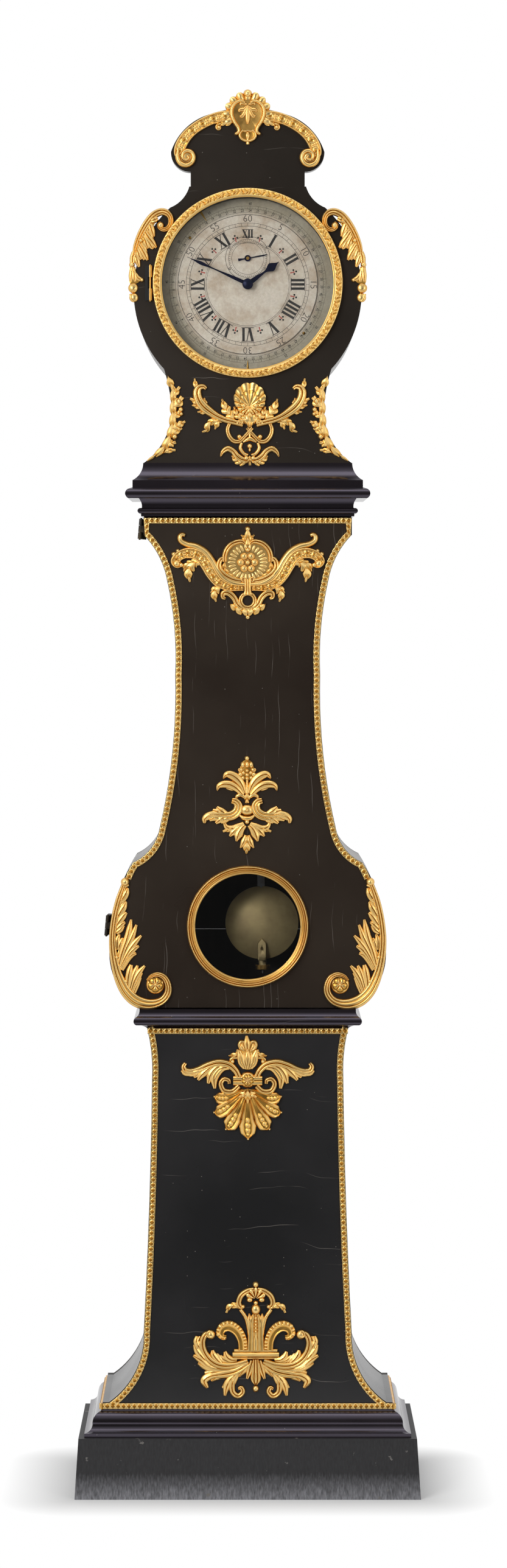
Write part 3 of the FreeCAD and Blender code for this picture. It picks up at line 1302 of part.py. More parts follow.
# Line: from the barrel down, round the pulley and up to the seat board.
right_run = rod_z("line_right_run", "line_radius", "line_right_x", "line_y", "pulley_z", "great_z")
left_run = rod_z("line_left_run", "line_radius", "line_left_x", "line_y", "pulley_z",
                 "seat_top_z - seat_thickness")
bend = doc.addObject("Part::Torus", "line_bend")
bind(bend, "Radius1", "pulley_reach")
bind(bend, "Radius2", "line_radius")
bend.Angle3 = 180
bend.Placement = Placement(Vector(), Rotation(Vector(1, 0, 0), -90))
place(bend, "pulley_x", "line_y", "pulley_z")
keep("weight_line", fuse("weight_line", [right_run, bend, left_run]))

# Cast mounts on the case front.  Strips give x, z and width about the
# mount's own centre; bosses give x, z and radius.
relief = number("mount_relief")
boss_relief = number("boss_relief")


def boss_at(x, z, radius, high):
    """Low domed boss on the front plane."""
    drum = Part.makeCylinder(radius, 0.6*high, Vector(x, 0, z), Vector(0, -1, 0))
    dome = Part.makeCone(radius, 0.6*radius, 0.4*high, Vector(x, -0.6*high, z), Vector(0, -1, 0))
    return drum.fuse(dome)


def cast(strips, bosses, twin, middle_strips=(), middle_bosses=()):
    """One casting; twin strips and bosses stand on both sides of the centre line."""
    solids = [ribbon(strip, relief) for strip in strips]
    solids += [boss_at(x, z, radius, boss_relief) for x, z, radius in bosses]
    if twin:
        solids += [solid.mirror(Vector(), Vector(1, 0, 0)) for solid in solids]
    solids += [ribbon(strip, relief) for strip in middle_strips]
    solids += [boss_at(x, z, radius, boss_relief) for x, z, radius in middle_bosses]
    return fused(solids)


def mount(label, shape, x, z):
    """Seat a mount on the case front."""
    thing = shape_node(label, shape)
    thing.Placement = Placement(Vector(number(x), number("face_y"), number(z)), Rotation())
    return keep(label, thing)


def mount_pair(label, shape, z):
    """Seat a right-hand mount and its mirror image."""
    both = Part.makeCompound([shape, shape.mirror(Vector(), Vector(1, 0, 0))])
    return mount(label, both, "0", z)


# Shell crest with two arched arms that end in volutes.
mount("pediment_mount", cast(
    [[(20, 0, 13), (62, -10.6, 16), (86, -26.6, 17), (101, -44, 16), (105, -62, 13), (97, -74, 9)],
     [(18, -14, 9), (36, -19, 7), (43, -24, 4)]],
    [(92.5, -67.9, 10), (12, 27, 7), (22, 19, 7.5), (29, 8, 7)], True,
    [[(0, 30, 16), (0, 22, 44), (0, 8, 62), (0, -8, 52), (0, -24, 34), (0, -36, 22), (0, -43, 6)]],
    [(0, 29, 6), (0, 3, 14)]), "0", "hood_top_z + pediment_mount_rise")

# Shoulder scrolls beside the dial.
mount_pair("hood_shoulder_mounts", cast(
    [[(125, 108.6, 5), (143.7, 101, 8), (156, 82.5, 9), (163.5, 64, 8), (168.7, 43, 8), (171, 28, 8),
      (172, 12.8, 10), (171.6, -8, 12), (170.8, -27.8, 5)],
     [(128, 108, 5), (118, 104.5, 8), (113.5, 96, 8), (119, 87, 6.5), (126, 82, 6.5), (132, 85, 5)],
     [(155, 84, 7), (147, 76, 10), (139.5, 69, 2)], [(160, 72, 8), (149, 60, 12), (136.4, 50.3, 2)],
     [(165, 58, 8), (157, 44, 11), (148.4, 32, 2)], [(172, 4, 5), (164, 5, 5), (158.5, 4, 5)]],
    [(130, 88, 5), (172, 27.4, 4), (158.5, 4, 3.2), (171.3, -7, 7.3), (169.7, -22, 6)], False),
           "dial_z")

# Long leaves at the waist of the hood.
mount_pair("hood_corner_mounts", cast(
    [[(120.9, 129.7, 3), (113, 111, 11), (109, 84, 15), (110, 60.6, 14), (115, 41, 12), (123, 21, 9),
      (139, 5, 3)],
     [(110, 88, 9), (102, 96, 7), (95.8, 95.6, 2)], [(110, 66, 9), (101, 66, 7), (94.9, 61.5, 2)],
     [(114, 40, 8), (108.3, 34, 6), (106, 26, 2)]], [], False), "hood_z")

# Shell with branches and strapwork below the dial.
mount("hood_centre_mount", cast(
    [[(6, 57, 8), (15.4, 59, 9), (29.8, 67, 9), (47.7, 69.6, 10), (62, 76.8, 12), (72.8, 86, 13),
      (78.2, 100, 12),
      (79, 111, 8), (81.8, 125, 2)],
     [(76, 92, 8), (83, 94, 6), (88, 95.6, 2)], [(73, 88, 8), (68, 93, 6), (65.6, 96, 2)],
     [(20, 64, 8), (31, 78, 11), (41.4, 94.7, 2)],
     [(30, 64, 6), (44, 62, 9), (58.5, 60, 8), (66, 53, 6), (70, 45.4, 2)],
     [(20, 60, 5), (29.8, 57, 5), (32.4, 49, 5), (30.5, 39, 5), (24, 32, 5), (17, 32, 5),
      (14.5, 38, 4)],
     [(30, 55, 4), (14, 52, 5), (0, 48, 6)],
     [(0, 3, 5), (11, 9, 8), (22.6, 15.8, 9), (31, 22, 8), (38.7, 20, 6), (42.3, 9.5, 2)]],
    [(14.5, 60.6, 6)], True,
    [[(0, 119.5, 8), (0, 112, 34), (0, 97, 47), (0, 82, 40), (0, 66, 18), (0, 58, 12)],
     [(0, 60, 14), (0, 48, 10), (0, 36, 8), (0, 24, 10), (0, 3, 6)]],
    [(0, 24, 10.8)]), "hood_centre_mount_shift", "hood_z")

# Cartouche with a rosette and two horns at the top of the door.
mount("door_upper_mount", cast(
    [[(4, -37, 8), (20, -39, 9), (33, -38, 10), (51, -27, 12), (61, -10, 12), (70, 4, 12),
      (82, 11, 11), (97, 12, 9),
      (109, 6, 7), (112, -3, 5)],
     [(76, 12, 6), (86, 24, 7), (97, 33, 7), (100, 42, 4)], [(66, -2, 7), (76, -10, 10), (84, -20, 8),
                                                             (87, -28, 2)],
     [(34, -40, 7), (45, -42, 8), (54.4, -45.6, 2)], [(26, -42, 8), (36, -50, 9), (47.4, -57, 2)],
     [(4, 34, 7), (20, 33, 8), (32, 21, 9), (37, 7, 8), (40, -5, 8), (34, -17, 8), (22, -25, 8),
      (8, -27, 7)]],
    [(105.5, -2, 6)], True,
    [[(0, 54, 5), (0, 48, 16), (0, 38, 20), (0, 28, 14)], [(0, -24, 14), (0, -40, 12), (0, -58, 14)],
     [(0, -55, 56), (0, -67, 36), (0, -79, 8)]],
    [(0, 0.7, 33), (0, 50.4, 5), (0, -56, 9.7), (0, -81, 3.7)]), "0",
      "trunk_top_z - door_upper_mount_drop")

# Leaf spray in the middle of the door.
mount("door_centre_mount", cast(
    [[(2, 24, 5), (7.4, 40, 7), (16, 51, 9), (25, 55, 7), (34.8, 49.6, 2)],
     [(3, 19, 6), (18.8, 34, 8), (31.6, 39, 8), (40, 36, 6), (43, 29, 2)],
     [(20, 15, 4), (13.5, 11, 6), (11, 1, 8), (20, -7, 9), (34, -6.5, 10), (45, -4, 9), (57, -6, 7),
      (63.4, -15, 2)],
     [(6, -6, 10), (22, -16, 10), (35.4, -17.8, 2)], [(6, -8, 10), (22, -22, 12), (36.7, -29.3, 2)],
     [(5, -11, 10), (16, -27, 11), (25.2, -36.9, 2)], [(4, -14, 9), (10, -32, 10), (15, -44.6, 2)],
     [(2, -15, 7), (5, -38, 8), (7.4, -56, 2)]],
    [(6.5, 70.6, 4), (7, 59.8, 4), (7, 51, 4)], True,
    [[(0, 82, 3), (0, 76, 12), (0, 66, 16), (0, 56, 15), (0, 47, 8), (0, 30, 6), (0, 15, 10),
      (0, 0, 16), (0, -14, 18),
      (0, -40, 8), (0, -63.7, 2)]],
    [(0, 79, 3.6), (0, 19, 5), (0, 0, 8.5)]), "0", "trunk_z + door_centre_mount_rise")

# Leafy scrolls round the foot of the door's bulge.
mount_pair("door_corner_mounts", cast(
    [[(186, 183, 8), (193, 164, 7), (197, 139, 10), (199, 110, 11), (199, 90, 11), (196, 70, 14),
      (187, 46, 20),
      (177, 30, 20), (166, 18, 16), (153, 10, 15), (140, 9.5, 13), (127, 15, 10), (119.5, 27, 8),
      (120, 38, 8),
      (126, 46.5, 9), (136, 49.5, 9), (145.5, 46, 8), (149.5, 37, 8)],
     [(190, 62, 10), (180, 84, 20), (172, 108, 20), (172, 124, 10), (175, 133.4, 2)],
     [(184, 76, 10), (170, 98, 14), (159.6, 108.9, 3)],
     [(180, 38, 9), (174, 52, 12), (175.9, 66.3, 2)], [(178, 40, 9), (166, 54, 12), (155, 64.5, 2)],
     [(193, 160, 6), (186, 168, 6), (179.5, 174, 2)], [(196, 140, 6), (188, 147, 7), (181.3, 150, 2)],
     [(198, 118, 6), (191, 126, 7), (183, 130, 2)]],
    [(184.1, 188, 6.3), (138.7, 35, 15)], False), "trunk_z")

# Shell fan with two wings at the top of the base.
mount("base_upper_mount", cast(
    [[(8, 6, 8), (14, 16, 9), (24, 26, 10), (41.6, 29, 13), (63.4, 19.5, 13), (83, 14, 10),
      (97, 18, 7), (96, 26, 4)],
     [(58, 20, 8), (66, 9, 8), (75.6, 2.7, 2)], [(46, 26, 8), (54, 10, 9), (60.6, -1.4, 2)],
     [(34, 26, 7), (44, 6, 9), (49.8, -10.9, 2)], [(4, 34, 6), (14, 38, 6), (24, 34, 6), (28, 38, 3)],
     [(8, -10, 6), (14, -14, 7), (28, -17, 8), (39, -10, 7), (38.5, 0, 6), (30, 3, 5)],
     [(10, -16, 14), (30, -24, 15), (48, -27, 4)], [(9, -18, 14), (28, -36, 20), (49, -48, 5)],
     [(6, -20, 14), (20, -46, 22), (33.4, -71, 5)]], [], True,
    [[(0, 65.3, 2), (0, 56, 14), (0, 50, 21), (0, 40, 10), (0, 30, 18), (0, 16, 12), (0, 4, 14),
      (0, -18, 20),
      (0, -50, 24), (0, -76, 16), (0, -86.5, 4)], [(-21, -1, 9), (0, -1, 9), (21, -1, 9)]],
    [(0, 0, 12)]), "0", "base_top_z - base_upper_mount_drop")

# Tall scroll group at the foot of the base.
mount("base_lower_mount", cast(
    [[(0, 96, 8), (16, 94.5, 8), (26, 85.5, 7), (28.5, 75, 6)],
     [(6, 8, 5), (11, 48, 5), (19, 64, 6), (24, 70, 5)],
     [(13, 52, 6), (28, 62, 8), (44.5, 60, 2)], [(17, 60, 6), (30, 70, 8), (41.3, 73, 2)],
     [(21.5, 3, 7), (22.5, 21, 8), (30, 33.5, 8), (40.5, 39.5, 11), (50, 37, 9), (53.5, 30, 7),
      (48.5, 25, 5)],
     [(8, -9, 10), (20, -13, 12), (36, -17, 14), (54, -18, 16), (70, -11, 17), (80, 3, 15),
      (83.5, 18, 11), (80, 29, 8),
      (73, 33, 5)],
     [(78, -2, 8), (87, -2, 6), (94, -2.4, 2)], [(70, -12, 8), (79, -13, 7), (85.9, -13, 2)],
     [(72, -6, 8), (67, 0, 7), (65, 6, 2)], [(56, -15, 8), (50, -5, 8), (47, 2.4, 2)],
     [(12, -12, 8), (26, -22, 10), (42, -28, 12), (60, -31, 11), (74, -38, 8), (78.6, -48.6, 2)],
     [(30, -22, 10), (38, -38, 12), (43, -50, 9), (46, -60, 2)],
     [(38, -42, 7), (37, -56, 7), (29, -62, 7), (20, -58, 6), (21, -50, 5)]],
    [(24.5, 70, 6.3), (9, 80, 6), (70, 29, 7.5), (10, -34, 6)], True,
    [[(0, 97, 8), (0, 80, 18), (0, 66, 14), (0, 54, 10), (0, 30, 11), (0, -2, 16)],
     [(-34, -1, 11), (0, -1, 13), (34, -1, 11)],
     [(0, -6, 26), (0, -22, 22), (0, -36, 16), (0, -50, 6)]],
    [(0, 102, 5), (0, 66.4, 7.3), (0, -51.8, 5.7)]), "base_lower_mount_shift",
      "base_z + base_lower_mount_rise")

doc.recompute()

# Nothing is written unless every object and every sub-part is sound.
for item in doc.Objects:
    if "Invalid" in item.State or "Error" in item.State:
        raise RuntimeError("failed object: " + item.Label)
for label, thing in nodes.items():
    if thing.Shape.isNull() or not thing.Shape.isValid() or not thing.Shape.Solids:
        raise RuntimeError("unsound sub-part: " + label)
os.makedirs("parts", exist_ok=True)
for label, thing in nodes.items():
    thing.Shape.exportStep("parts/" + label + ".step")
    print("%-26s solids %2d  volume %12.1f" % (label, len(thing.Shape.Solids), thing.Shape.Volume))
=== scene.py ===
import math

import bpy
import numpy as np
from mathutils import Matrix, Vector


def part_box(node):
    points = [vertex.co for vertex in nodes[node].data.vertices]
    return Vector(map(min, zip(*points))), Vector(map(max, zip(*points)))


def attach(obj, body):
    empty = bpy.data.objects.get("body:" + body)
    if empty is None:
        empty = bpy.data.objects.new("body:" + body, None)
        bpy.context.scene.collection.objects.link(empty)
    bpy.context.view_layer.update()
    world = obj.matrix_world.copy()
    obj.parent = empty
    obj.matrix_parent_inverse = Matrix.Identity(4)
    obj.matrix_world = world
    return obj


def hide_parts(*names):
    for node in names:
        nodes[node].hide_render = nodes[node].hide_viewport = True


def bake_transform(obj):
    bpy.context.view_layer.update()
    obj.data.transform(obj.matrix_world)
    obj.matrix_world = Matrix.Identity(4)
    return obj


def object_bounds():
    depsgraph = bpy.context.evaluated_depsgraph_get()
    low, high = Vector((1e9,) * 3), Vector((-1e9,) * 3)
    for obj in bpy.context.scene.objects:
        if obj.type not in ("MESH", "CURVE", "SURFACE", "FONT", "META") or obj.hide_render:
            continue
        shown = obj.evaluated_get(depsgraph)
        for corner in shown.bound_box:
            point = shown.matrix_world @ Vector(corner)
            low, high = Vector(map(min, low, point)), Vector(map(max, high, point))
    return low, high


# Floor regulator clock: the finishes, the gilt castings, the dial's engraving and the studio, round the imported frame.
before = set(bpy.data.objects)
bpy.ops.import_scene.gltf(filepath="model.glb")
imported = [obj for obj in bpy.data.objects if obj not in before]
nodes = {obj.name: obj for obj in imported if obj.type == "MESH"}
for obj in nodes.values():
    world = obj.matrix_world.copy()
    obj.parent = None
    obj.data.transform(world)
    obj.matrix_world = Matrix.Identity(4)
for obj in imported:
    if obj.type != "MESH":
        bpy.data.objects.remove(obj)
size_at_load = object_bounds()
scene = bpy.context.scene

MM = 0.001
# Planes and heights of the frame that the pieces below are set out from, in mm.
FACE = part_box("base_front_panel")[0].y / MM
DIAL_Z = (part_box("dial_plate")[0].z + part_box("dial_plate")[1].z) / 2 / MM
HOOD_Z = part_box("hood_front")[0].z / MM
TRUNK_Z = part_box("trunk_sides")[0].z / MM
BASE_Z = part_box("base_front_panel")[0].z / MM


# ---------------------------------------------------------------- finishes

# A pattern's scale counts its marks in a metre, so it is 1000 over their real size in mm. A picture point is about
# 0.9 mm, and what is finer than that is drawn coarser, as said beside it.

def colour(code):
    """Linear colour of an sRGB hex code."""
    parts = [int(code[i:i + 2], 16) / 255 for i in (1, 3, 5)]
    return (*[c / 12.92 if c <= 0.04045 else ((c + 0.055) / 1.055) ** 2.4 for c in parts], 1.0)


def add(tree, kind, inputs=None, **settings):
    """A new shader node with its settings; an input is a value, a socket to link from, or a node's first socket."""
    node = tree.nodes.new("ShaderNode" + kind)
    for name, value in settings.items():
        setattr(node, name, value)
    for name, value in (inputs or {}).items():
        if isinstance(value, bpy.types.Node):
            value = value.outputs[0]
        if isinstance(value, bpy.types.NodeSocket):
            tree.links.new(value, node.inputs[name])
        else:
            node.inputs[name].default_value = value
    return node


def finish_of(name, **inputs):
    """A new finish with its tree, its shader and the place on the object."""
    made = bpy.data.materials.new(name)
    made.use_nodes = True
    tree = made.node_tree
    shader = tree.nodes["Principled BSDF"]
    for key, value in inputs.items():
        shader.inputs[key.replace("_", " ")].default_value = value
    return made, tree, shader, add(tree, "TexCoord").outputs["Object"]


# Black varnish. Its cracks are hair thin and drawn about 1 mm wide, so that they show.
CRACK_HALF = 0.55  # mm
CRACK_STRAY = 9.0  # a crack strays, starts and ends over about 110 mm
DUST = 90.0  # specks in cells of 11 mm, one cell in five
CLOUDS = 3.5  # browner and blacker clouds about 290 mm wide


def black_varnish(name, upright, pitch, dark, brown, sheen, rough, lines, tint="#ffffff"):
    """Old black varnish with hair cracks about pitch mm apart, running up or across; lines is their strength."""
    made, tree, shader, place = finish_of(name, Specular_IOR_Level=sheen, Specular_Tint=colour(tint))
    parts = add(tree, "SeparateXYZ", {0: place})
    wide = add(tree, "Math", {0: parts.outputs["X"], 1: parts.outputs["Y"]}, operation="ADD").outputs[0]
    over, along = (wide, parts.outputs["Z"]) if upright else (parts.outputs["Z"], wide)
    bow = add(tree, "TexNoise", {"W": along, "Scale": CRACK_STRAY, "Detail": 2.0}, noise_dimensions="1D")
    slip = add(tree, "Math", {0: over, 1: 1000 / pitch, 2: bow}, operation="MULTIPLY_ADD")
    lane = add(tree, "Math", {0: slip}, operation="FLOOR")
    spot = add(tree, "Math", {0: slip}, operation="FRACT")
    chance = add(tree, "TexWhiteNoise", {"W": lane}, noise_dimensions="1D")
    away = add(tree, "Math", {0: spot, 1: chance}, operation="SUBTRACT")
    near = add(tree, "Math", {0: away}, operation="ABSOLUTE")
    line = add(tree, "MapRange", {"Value": near, "From Max": CRACK_HALF / pitch, "To Min": 1.0, "To Max": 0.0})
    strip = add(tree, "Math", {0: lane, 1: 1.7}, operation="MULTIPLY")
    reach = add(tree, "Math", {0: along, 1: CRACK_STRAY}, operation="MULTIPLY")
    track = add(tree, "CombineXYZ", {0: strip, 1: reach})
    broken = add(tree, "TexNoise", {"Vector": track, "Scale": 1.0, "Detail": 3.0})
    where = add(tree, "MapRange", {"Value": broken, "From Min": 0.54, "From Max": 0.68})
    cracked = add(tree, "Math", {0: line, 1: where}, operation="MULTIPLY")
    dust = add(tree, "TexVoronoi", {"Vector": place, "Scale": DUST})
    dot = add(tree, "MapRange", {"Value": dust, "From Min": 0.03, "From Max": 0.07, "To Min": 1.0, "To Max": 0.0})
    few = add(tree, "SeparateColor", {0: dust.outputs["Color"]})
    rare = add(tree, "Math", {0: few, 1: 0.8}, operation="GREATER_THAN")
    speck = add(tree, "Math", {0: dot, 1: rare}, operation="MULTIPLY")
    broad = add(tree, "TexNoise", {"Vector": place, "Scale": CLOUDS, "Detail": 5.0})
    tone = add(tree, "MapRange", {"Value": broad, "From Min": 0.35, "From Max": 0.65})
    body = add(tree, "Mix", {0: tone, 6: colour(dark), 7: colour(brown)}, data_type="RGBA")
    faint = add(tree, "Math", {0: cracked, 1: lines}, operation="MULTIPLY")
    aged = add(tree, "Mix", {0: faint, 6: body.outputs[2], 7: colour("#9a938c")}, data_type="RGBA")
    flecked = add(tree, "Mix", {0: speck, 6: aged.outputs[2], 7: colour("#85817a")}, data_type="RGBA")
    tree.links.new(flecked.outputs[2], shader.inputs["Base Color"])
    rub = add(tree, "MapRange", {"Value": broad, "From Min": 0.3, "From Max": 0.7, "To Min": rough,
                                 "To Max": rough + 0.12})
    tree.links.new(rub.outputs[0], shader.inputs["Roughness"])
    bump = add(tree, "Bump", {"Height": cracked, "Strength": 0.2, "Distance": 0.0003}, invert=True)
    tree.links.new(bump.outputs[0], shader.inputs["Normal"])
    return made


# Ebonised door board: brown-black varnish with hair cracks running up and down and a few pale specks.
door_black = black_varnish("ebonised_wood_upright", True, 14, "#271f1a", "#332b24", 0.4, 0.22, 0.5, "#fff1e2")
# Ebonised panels: the same varnish with its cracks running across.
panel_black = black_varnish("ebonised_wood_across", False, 34, "#231f1b", "#2e2823", 0.4, 0.22, 0.5, "#fff4e9")
# Ebonised base: the same again, cooler, as it is more rubbed and less yellowed low down.
base_black = black_varnish("ebonised_wood_base", False, 34, "#222223", "#2d2c2d", 0.4, 0.22, 0.5)
# Ebonised mouldings: deeper black with a higher polish, so their edges catch the light with a violet tinge.
moulding_black = black_varnish("ebonised_moulding", False, 60, "#171415", "#221d1f", 0.9, 0.1, 0.15, "#e9def8")


# Plinth paint. The real scratches are finer than this and drawn coarser, so that they show.
SCRATCHES = (420, 420, 110)  # 2.4 mm wide and 9 mm tall
CHIPS = 60.0  # chips up to 17 mm
BRUSHING = 16.0  # uneven over about 60 mm
WORN_FROM, WORN_TO = -0.006, 0.032  # metres over the floor in which the wear fades out


def worn_plinth():
    """Rubbed black paint on the plinth: worn grey along the foot in fine upright scratches, with a few chips above."""
    made, tree, shader, place = finish_of("rubbed_black_plinth", Roughness=0.55, Specular_IOR_Level=0.3)
    hung = add(tree, "Mapping", {"Vector": place, "Scale": SCRATCHES})
    scratch = add(tree, "TexNoise", {"Vector": hung, "Scale": 1.0, "Detail": 3.0})
    cloud = add(tree, "TexNoise", {"Vector": place, "Scale": BRUSHING, "Detail": 7.0})
    height = add(tree, "SeparateXYZ", {0: place})
    run = add(tree, "Math", {0: scratch, 1: -0.012, 2: height.outputs["Z"]}, operation="MULTIPLY_ADD")
    foot = add(tree, "MapRange", {"Value": run, "From Min": WORN_FROM, "From Max": WORN_TO, "To Min": 1.45,
                                  "To Max": 0.1})
    mixed = add(tree, "Math", {0: scratch, 1: foot}, operation="MULTIPLY")
    grey = add(tree, "Mix", {0: mixed, 6: colour("#201f20"), 7: colour("#8b8b90")}, data_type="RGBA")
    chips = add(tree, "TexNoise", {"Vector": place, "Scale": CHIPS, "Detail": 6.0})
    bare = add(tree, "MapRange", {"Value": chips, "From Min": 0.68, "From Max": 0.71})
    worn = add(tree, "Mix", {0: bare, 6: grey.outputs[2], 7: colour("#6f6c69")}, data_type="RGBA")
    tree.links.new(worn.outputs[2], shader.inputs["Base Color"])
    bump = add(tree, "Bump", {"Height": cloud, "Strength": 0.2, "Distance": 0.0006})
    tree.links.new(bump.outputs[0], shader.inputs["Normal"])
    return made


# Plinth boards: matt, brushed and chipped, paler towards the floor.
plinth_black = worn_plinth()


# Gilding. The punched grain is about 0.3 mm and drawn as 1.1 mm, so that it shows.
PUNCHING = 900.0
RUBBING = 60.0  # brighter and duller over about 17 mm


def gilt(name, deep, mid, high):
    """Fire-gilt bronze: darker in the hollows, which is painted shade over a dark patina, and paler on the ridges,
    which is a painted highlight over gilding rubbed bright.
    """
    made, tree, shader, place = finish_of(name, Metallic=1.0)
    grain = add(tree, "TexNoise", {"Vector": place, "Scale": PUNCHING, "Detail": 3.0})
    patch = add(tree, "TexNoise", {"Vector": place, "Scale": RUBBING, "Detail": 4.0})
    # The relief level is low in a casting's hollows and at its sunk rim, and high on its ridges. Its low end paints
    # shade and its high end paints a highlight.
    level = add(tree, "Attribute", attribute_name="relief").outputs["Fac"]
    low = add(tree, "MapRange", {"Value": level, "From Min": 0.12, "From Max": 0.5})
    top = add(tree, "MapRange", {"Value": level, "From Min": 0.5, "From Max": 0.95})
    first = add(tree, "Mix", {0: low, 6: colour(deep), 7: colour(mid)}, data_type="RGBA")
    second = add(tree, "Mix", {0: top, 6: first.outputs[2], 7: colour(high)}, data_type="RGBA")
    tree.links.new(second.outputs[2], shader.inputs["Base Color"])
    rough = add(tree, "MapRange", {"Value": patch, "From Min": 0.3, "From Max": 0.7, "To Min": 0.26, "To Max": 0.42})
    tree.links.new(rough.outputs[0], shader.inputs["Roughness"])
    bump = add(tree, "Bump", {"Height": grain, "Strength": 0.12, "Distance": 0.0003})
    tree.links.new(bump.outputs[0], shader.inputs["Normal"])
    return made


# Cast mounts: warm gold with brown hollows and pale ridges, that is painted shade and a painted highlight over a dark
# patina and rubbed gilding.
mount_gilt = gilt("gilt_bronze_chased", "#9a6a26", "#dda850", "#f1cf88")


# Dial door hinge: its barrel begins here, in metres from the middle, and is rubbed in spots of about 3 mm.
BARREL_X = -0.1462
BARREL_RUBBING = 300.0


def painted_hinge():
    """Gilt hinge barrel whose fixed leaf is painted black with the hood."""
    made, tree, shader, place = finish_of("gilt_hinge_with_painted_leaf", Roughness=0.35)
    parts = add(tree, "SeparateXYZ", {0: place})
    barrel = add(tree, "Math", {0: parts.outputs["X"], 1: BARREL_X}, operation="GREATER_THAN")
    gilt_tone = add(tree, "TexNoise", {"Vector": place, "Scale": BARREL_RUBBING, "Detail": 3.0})
    gold = add(tree, "Mix", {0: gilt_tone, 6: colour("#b07a30"), 7: colour("#e6bb66")}, data_type="RGBA")
    mixed = add(tree, "Mix", {0: barrel, 6: colour("#1c1b1a"), 7: gold.outputs[2]}, data_type="RGBA")
    tree.links.new(mixed.outputs[2], shader.inputs["Base Color"])
    tree.links.new(barrel.outputs[0], shader.inputs["Metallic"])
    return made


# Dial door hinge: only its barrel shows gold.
hinge_gilt = painted_hinge()


# Worked metals tarnish in patches of about 29 mm. File marks are finer than 0.3 mm and drawn as 1.4 and 1.1 mm, so that
# they show.
TARNISH = 35.0
FILED, POLISHED = 700.0, 900.0


def metal(name, base, patch_colour, rough, grain_scale, metallic=1.0):
    """A worked metal with a soft patchy tarnish and a fine grain."""
    made, tree, shader, place = finish_of(name, Metallic=metallic)
    patch = add(tree, "TexNoise", {"Vector": place, "Scale": TARNISH, "Detail": 6.0, "Roughness": 0.6})
    tarnish = add(tree, "MapRange", {"Value": patch, "From Min": 0.42, "From Max": 0.7})
    mixed = add(tree, "Mix", {0: tarnish, 6: colour(base), 7: colour(patch_colour)}, data_type="RGBA")
    tree.links.new(mixed.outputs[2], shader.inputs["Base Color"])
    spread = add(tree, "MapRange", {"Value": patch, "To Min": rough - 0.08, "To Max": rough + 0.12})
    tree.links.new(spread.outputs[0], shader.inputs["Roughness"])
    grain = add(tree, "TexNoise", {"Vector": place, "Scale": grain_scale, "Detail": 2.0})
    bump = add(tree, "Bump", {"Height": grain, "Strength": 0.08, "Distance": 0.0002})
    tree.links.new(bump.outputs[0], shader.inputs["Normal"])
    return made


# Movement brass: dull yellow with darker tarnish.
brass = metal("brass", "#b08d4c", "#8d6c36", 0.36, FILED)
# Bob brass: flat, greyed and matt behind the window.
bob_brass = metal("tarnished_brass", "#c2ae7c", "#a8946a", 0.5, POLISHED, 0.6)
# Steel: grey with a faint brown bloom.
steel = metal("steel", "#8b8c8e", "#6b6560", 0.34, POLISHED)
# Blued steel hands: near black with a cold edge.
blued = metal("blued_steel", "#1b2138", "#2a2645", 0.3, POLISHED, 0.8)
# Door hinges: brass blackened with the varnish.
dark_hinge = metal("blackened_brass", "#2b2723", "#4a3d28", 0.45, FILED, 0.7)
# Black wax in the engraved dial: matt, greyer where it has worn.
ink = metal("engraver_wax_black", "#1c1a19", "#3a3632", 0.55, POLISHED, 0.0)
# Red wax in the trefoils: matt and faded to brown in places.
red_ink = metal("engraver_wax_red", "#b5382e", "#93463c", 0.55, POLISHED, 0.0)


# Silvering. The turned lines are about 0.2 mm apart and drawn as 0.7 mm, so that they show.
TURNED = 1500.0
STAINS = 26.0  # stains about 38 mm wide
SPECKLES = 260.0  # specks of about 4 mm
RIM_FROM, RIM_TO = 104.5, 112.0  # radius in mm over which the outer ring gets darker


def silvered_metal():
    """Silvered brass: pale and matt, with a turned grain round the dial and brownish stains."""
    made, tree, shader, place = finish_of("silvered_brass", Metallic=0.55)
    parts = add(tree, "SeparateXYZ", {0: place})
    rise = add(tree, "Math", {0: parts.outputs["Z"], 1: DIAL_Z * MM}, operation="SUBTRACT")
    flat = add(tree, "CombineXYZ", {0: parts.outputs["X"], 1: rise})
    radius = add(tree, "VectorMath", {0: flat}, operation="LENGTH")
    lines = add(tree, "TexNoise", {"W": radius.outputs["Value"], "Scale": TURNED, "Detail": 2.0},
                noise_dimensions="1D")
    stain = add(tree, "TexNoise", {"Vector": place, "Scale": STAINS, "Detail": 8.0, "Roughness": 0.65})
    fine = add(tree, "TexNoise", {"Vector": place, "Scale": SPECKLES, "Detail": 4.0})
    dirty = add(tree, "MapRange", {"Value": stain, "From Min": 0.42, "From Max": 0.68})
    rim = add(tree, "MapRange", {"Value": radius.outputs["Value"], "From Min": RIM_FROM * MM, "From Max": RIM_TO * MM,
                                 "To Min": 0.0, "To Max": 0.7})
    base = add(tree, "Mix", {0: dirty, 6: colour("#d8cfbf"), 7: colour("#b8a58d")}, data_type="RGBA")
    edge = add(tree, "Mix", {0: rim, 6: base.outputs[2], 7: colour("#9c9680")}, data_type="RGBA")
    speckled = add(tree, "MapRange", {"Value": fine, "From Min": 0.3, "From Max": 0.7, "To Min": 0.88,
                                      "To Max": 1.04})
    shaded = add(tree, "VectorMath", {0: edge.outputs[2], 1: speckled}, operation="MULTIPLY")
    tree.links.new(shaded.outputs[0], shader.inputs["Base Color"])
    rough = add(tree, "MapRange", {"Value": stain, "To Min": 0.4, "To Max": 0.6})
    tree.links.new(rough.outputs[0], shader.inputs["Roughness"])
    bump = add(tree, "Bump", {"Height": lines, "Strength": 0.06, "Distance": 0.0002})
    tree.links.new(bump.outputs[0], shader.inputs["Normal"])
    return made


# Dial and outer ring: greyish silver, darker and greener towards the rim.
silvered = silvered_metal()


# Carcass wood: grain lines 11 mm apart and 200 mm long.
WOOD_GRAIN = (90, 90, 5)


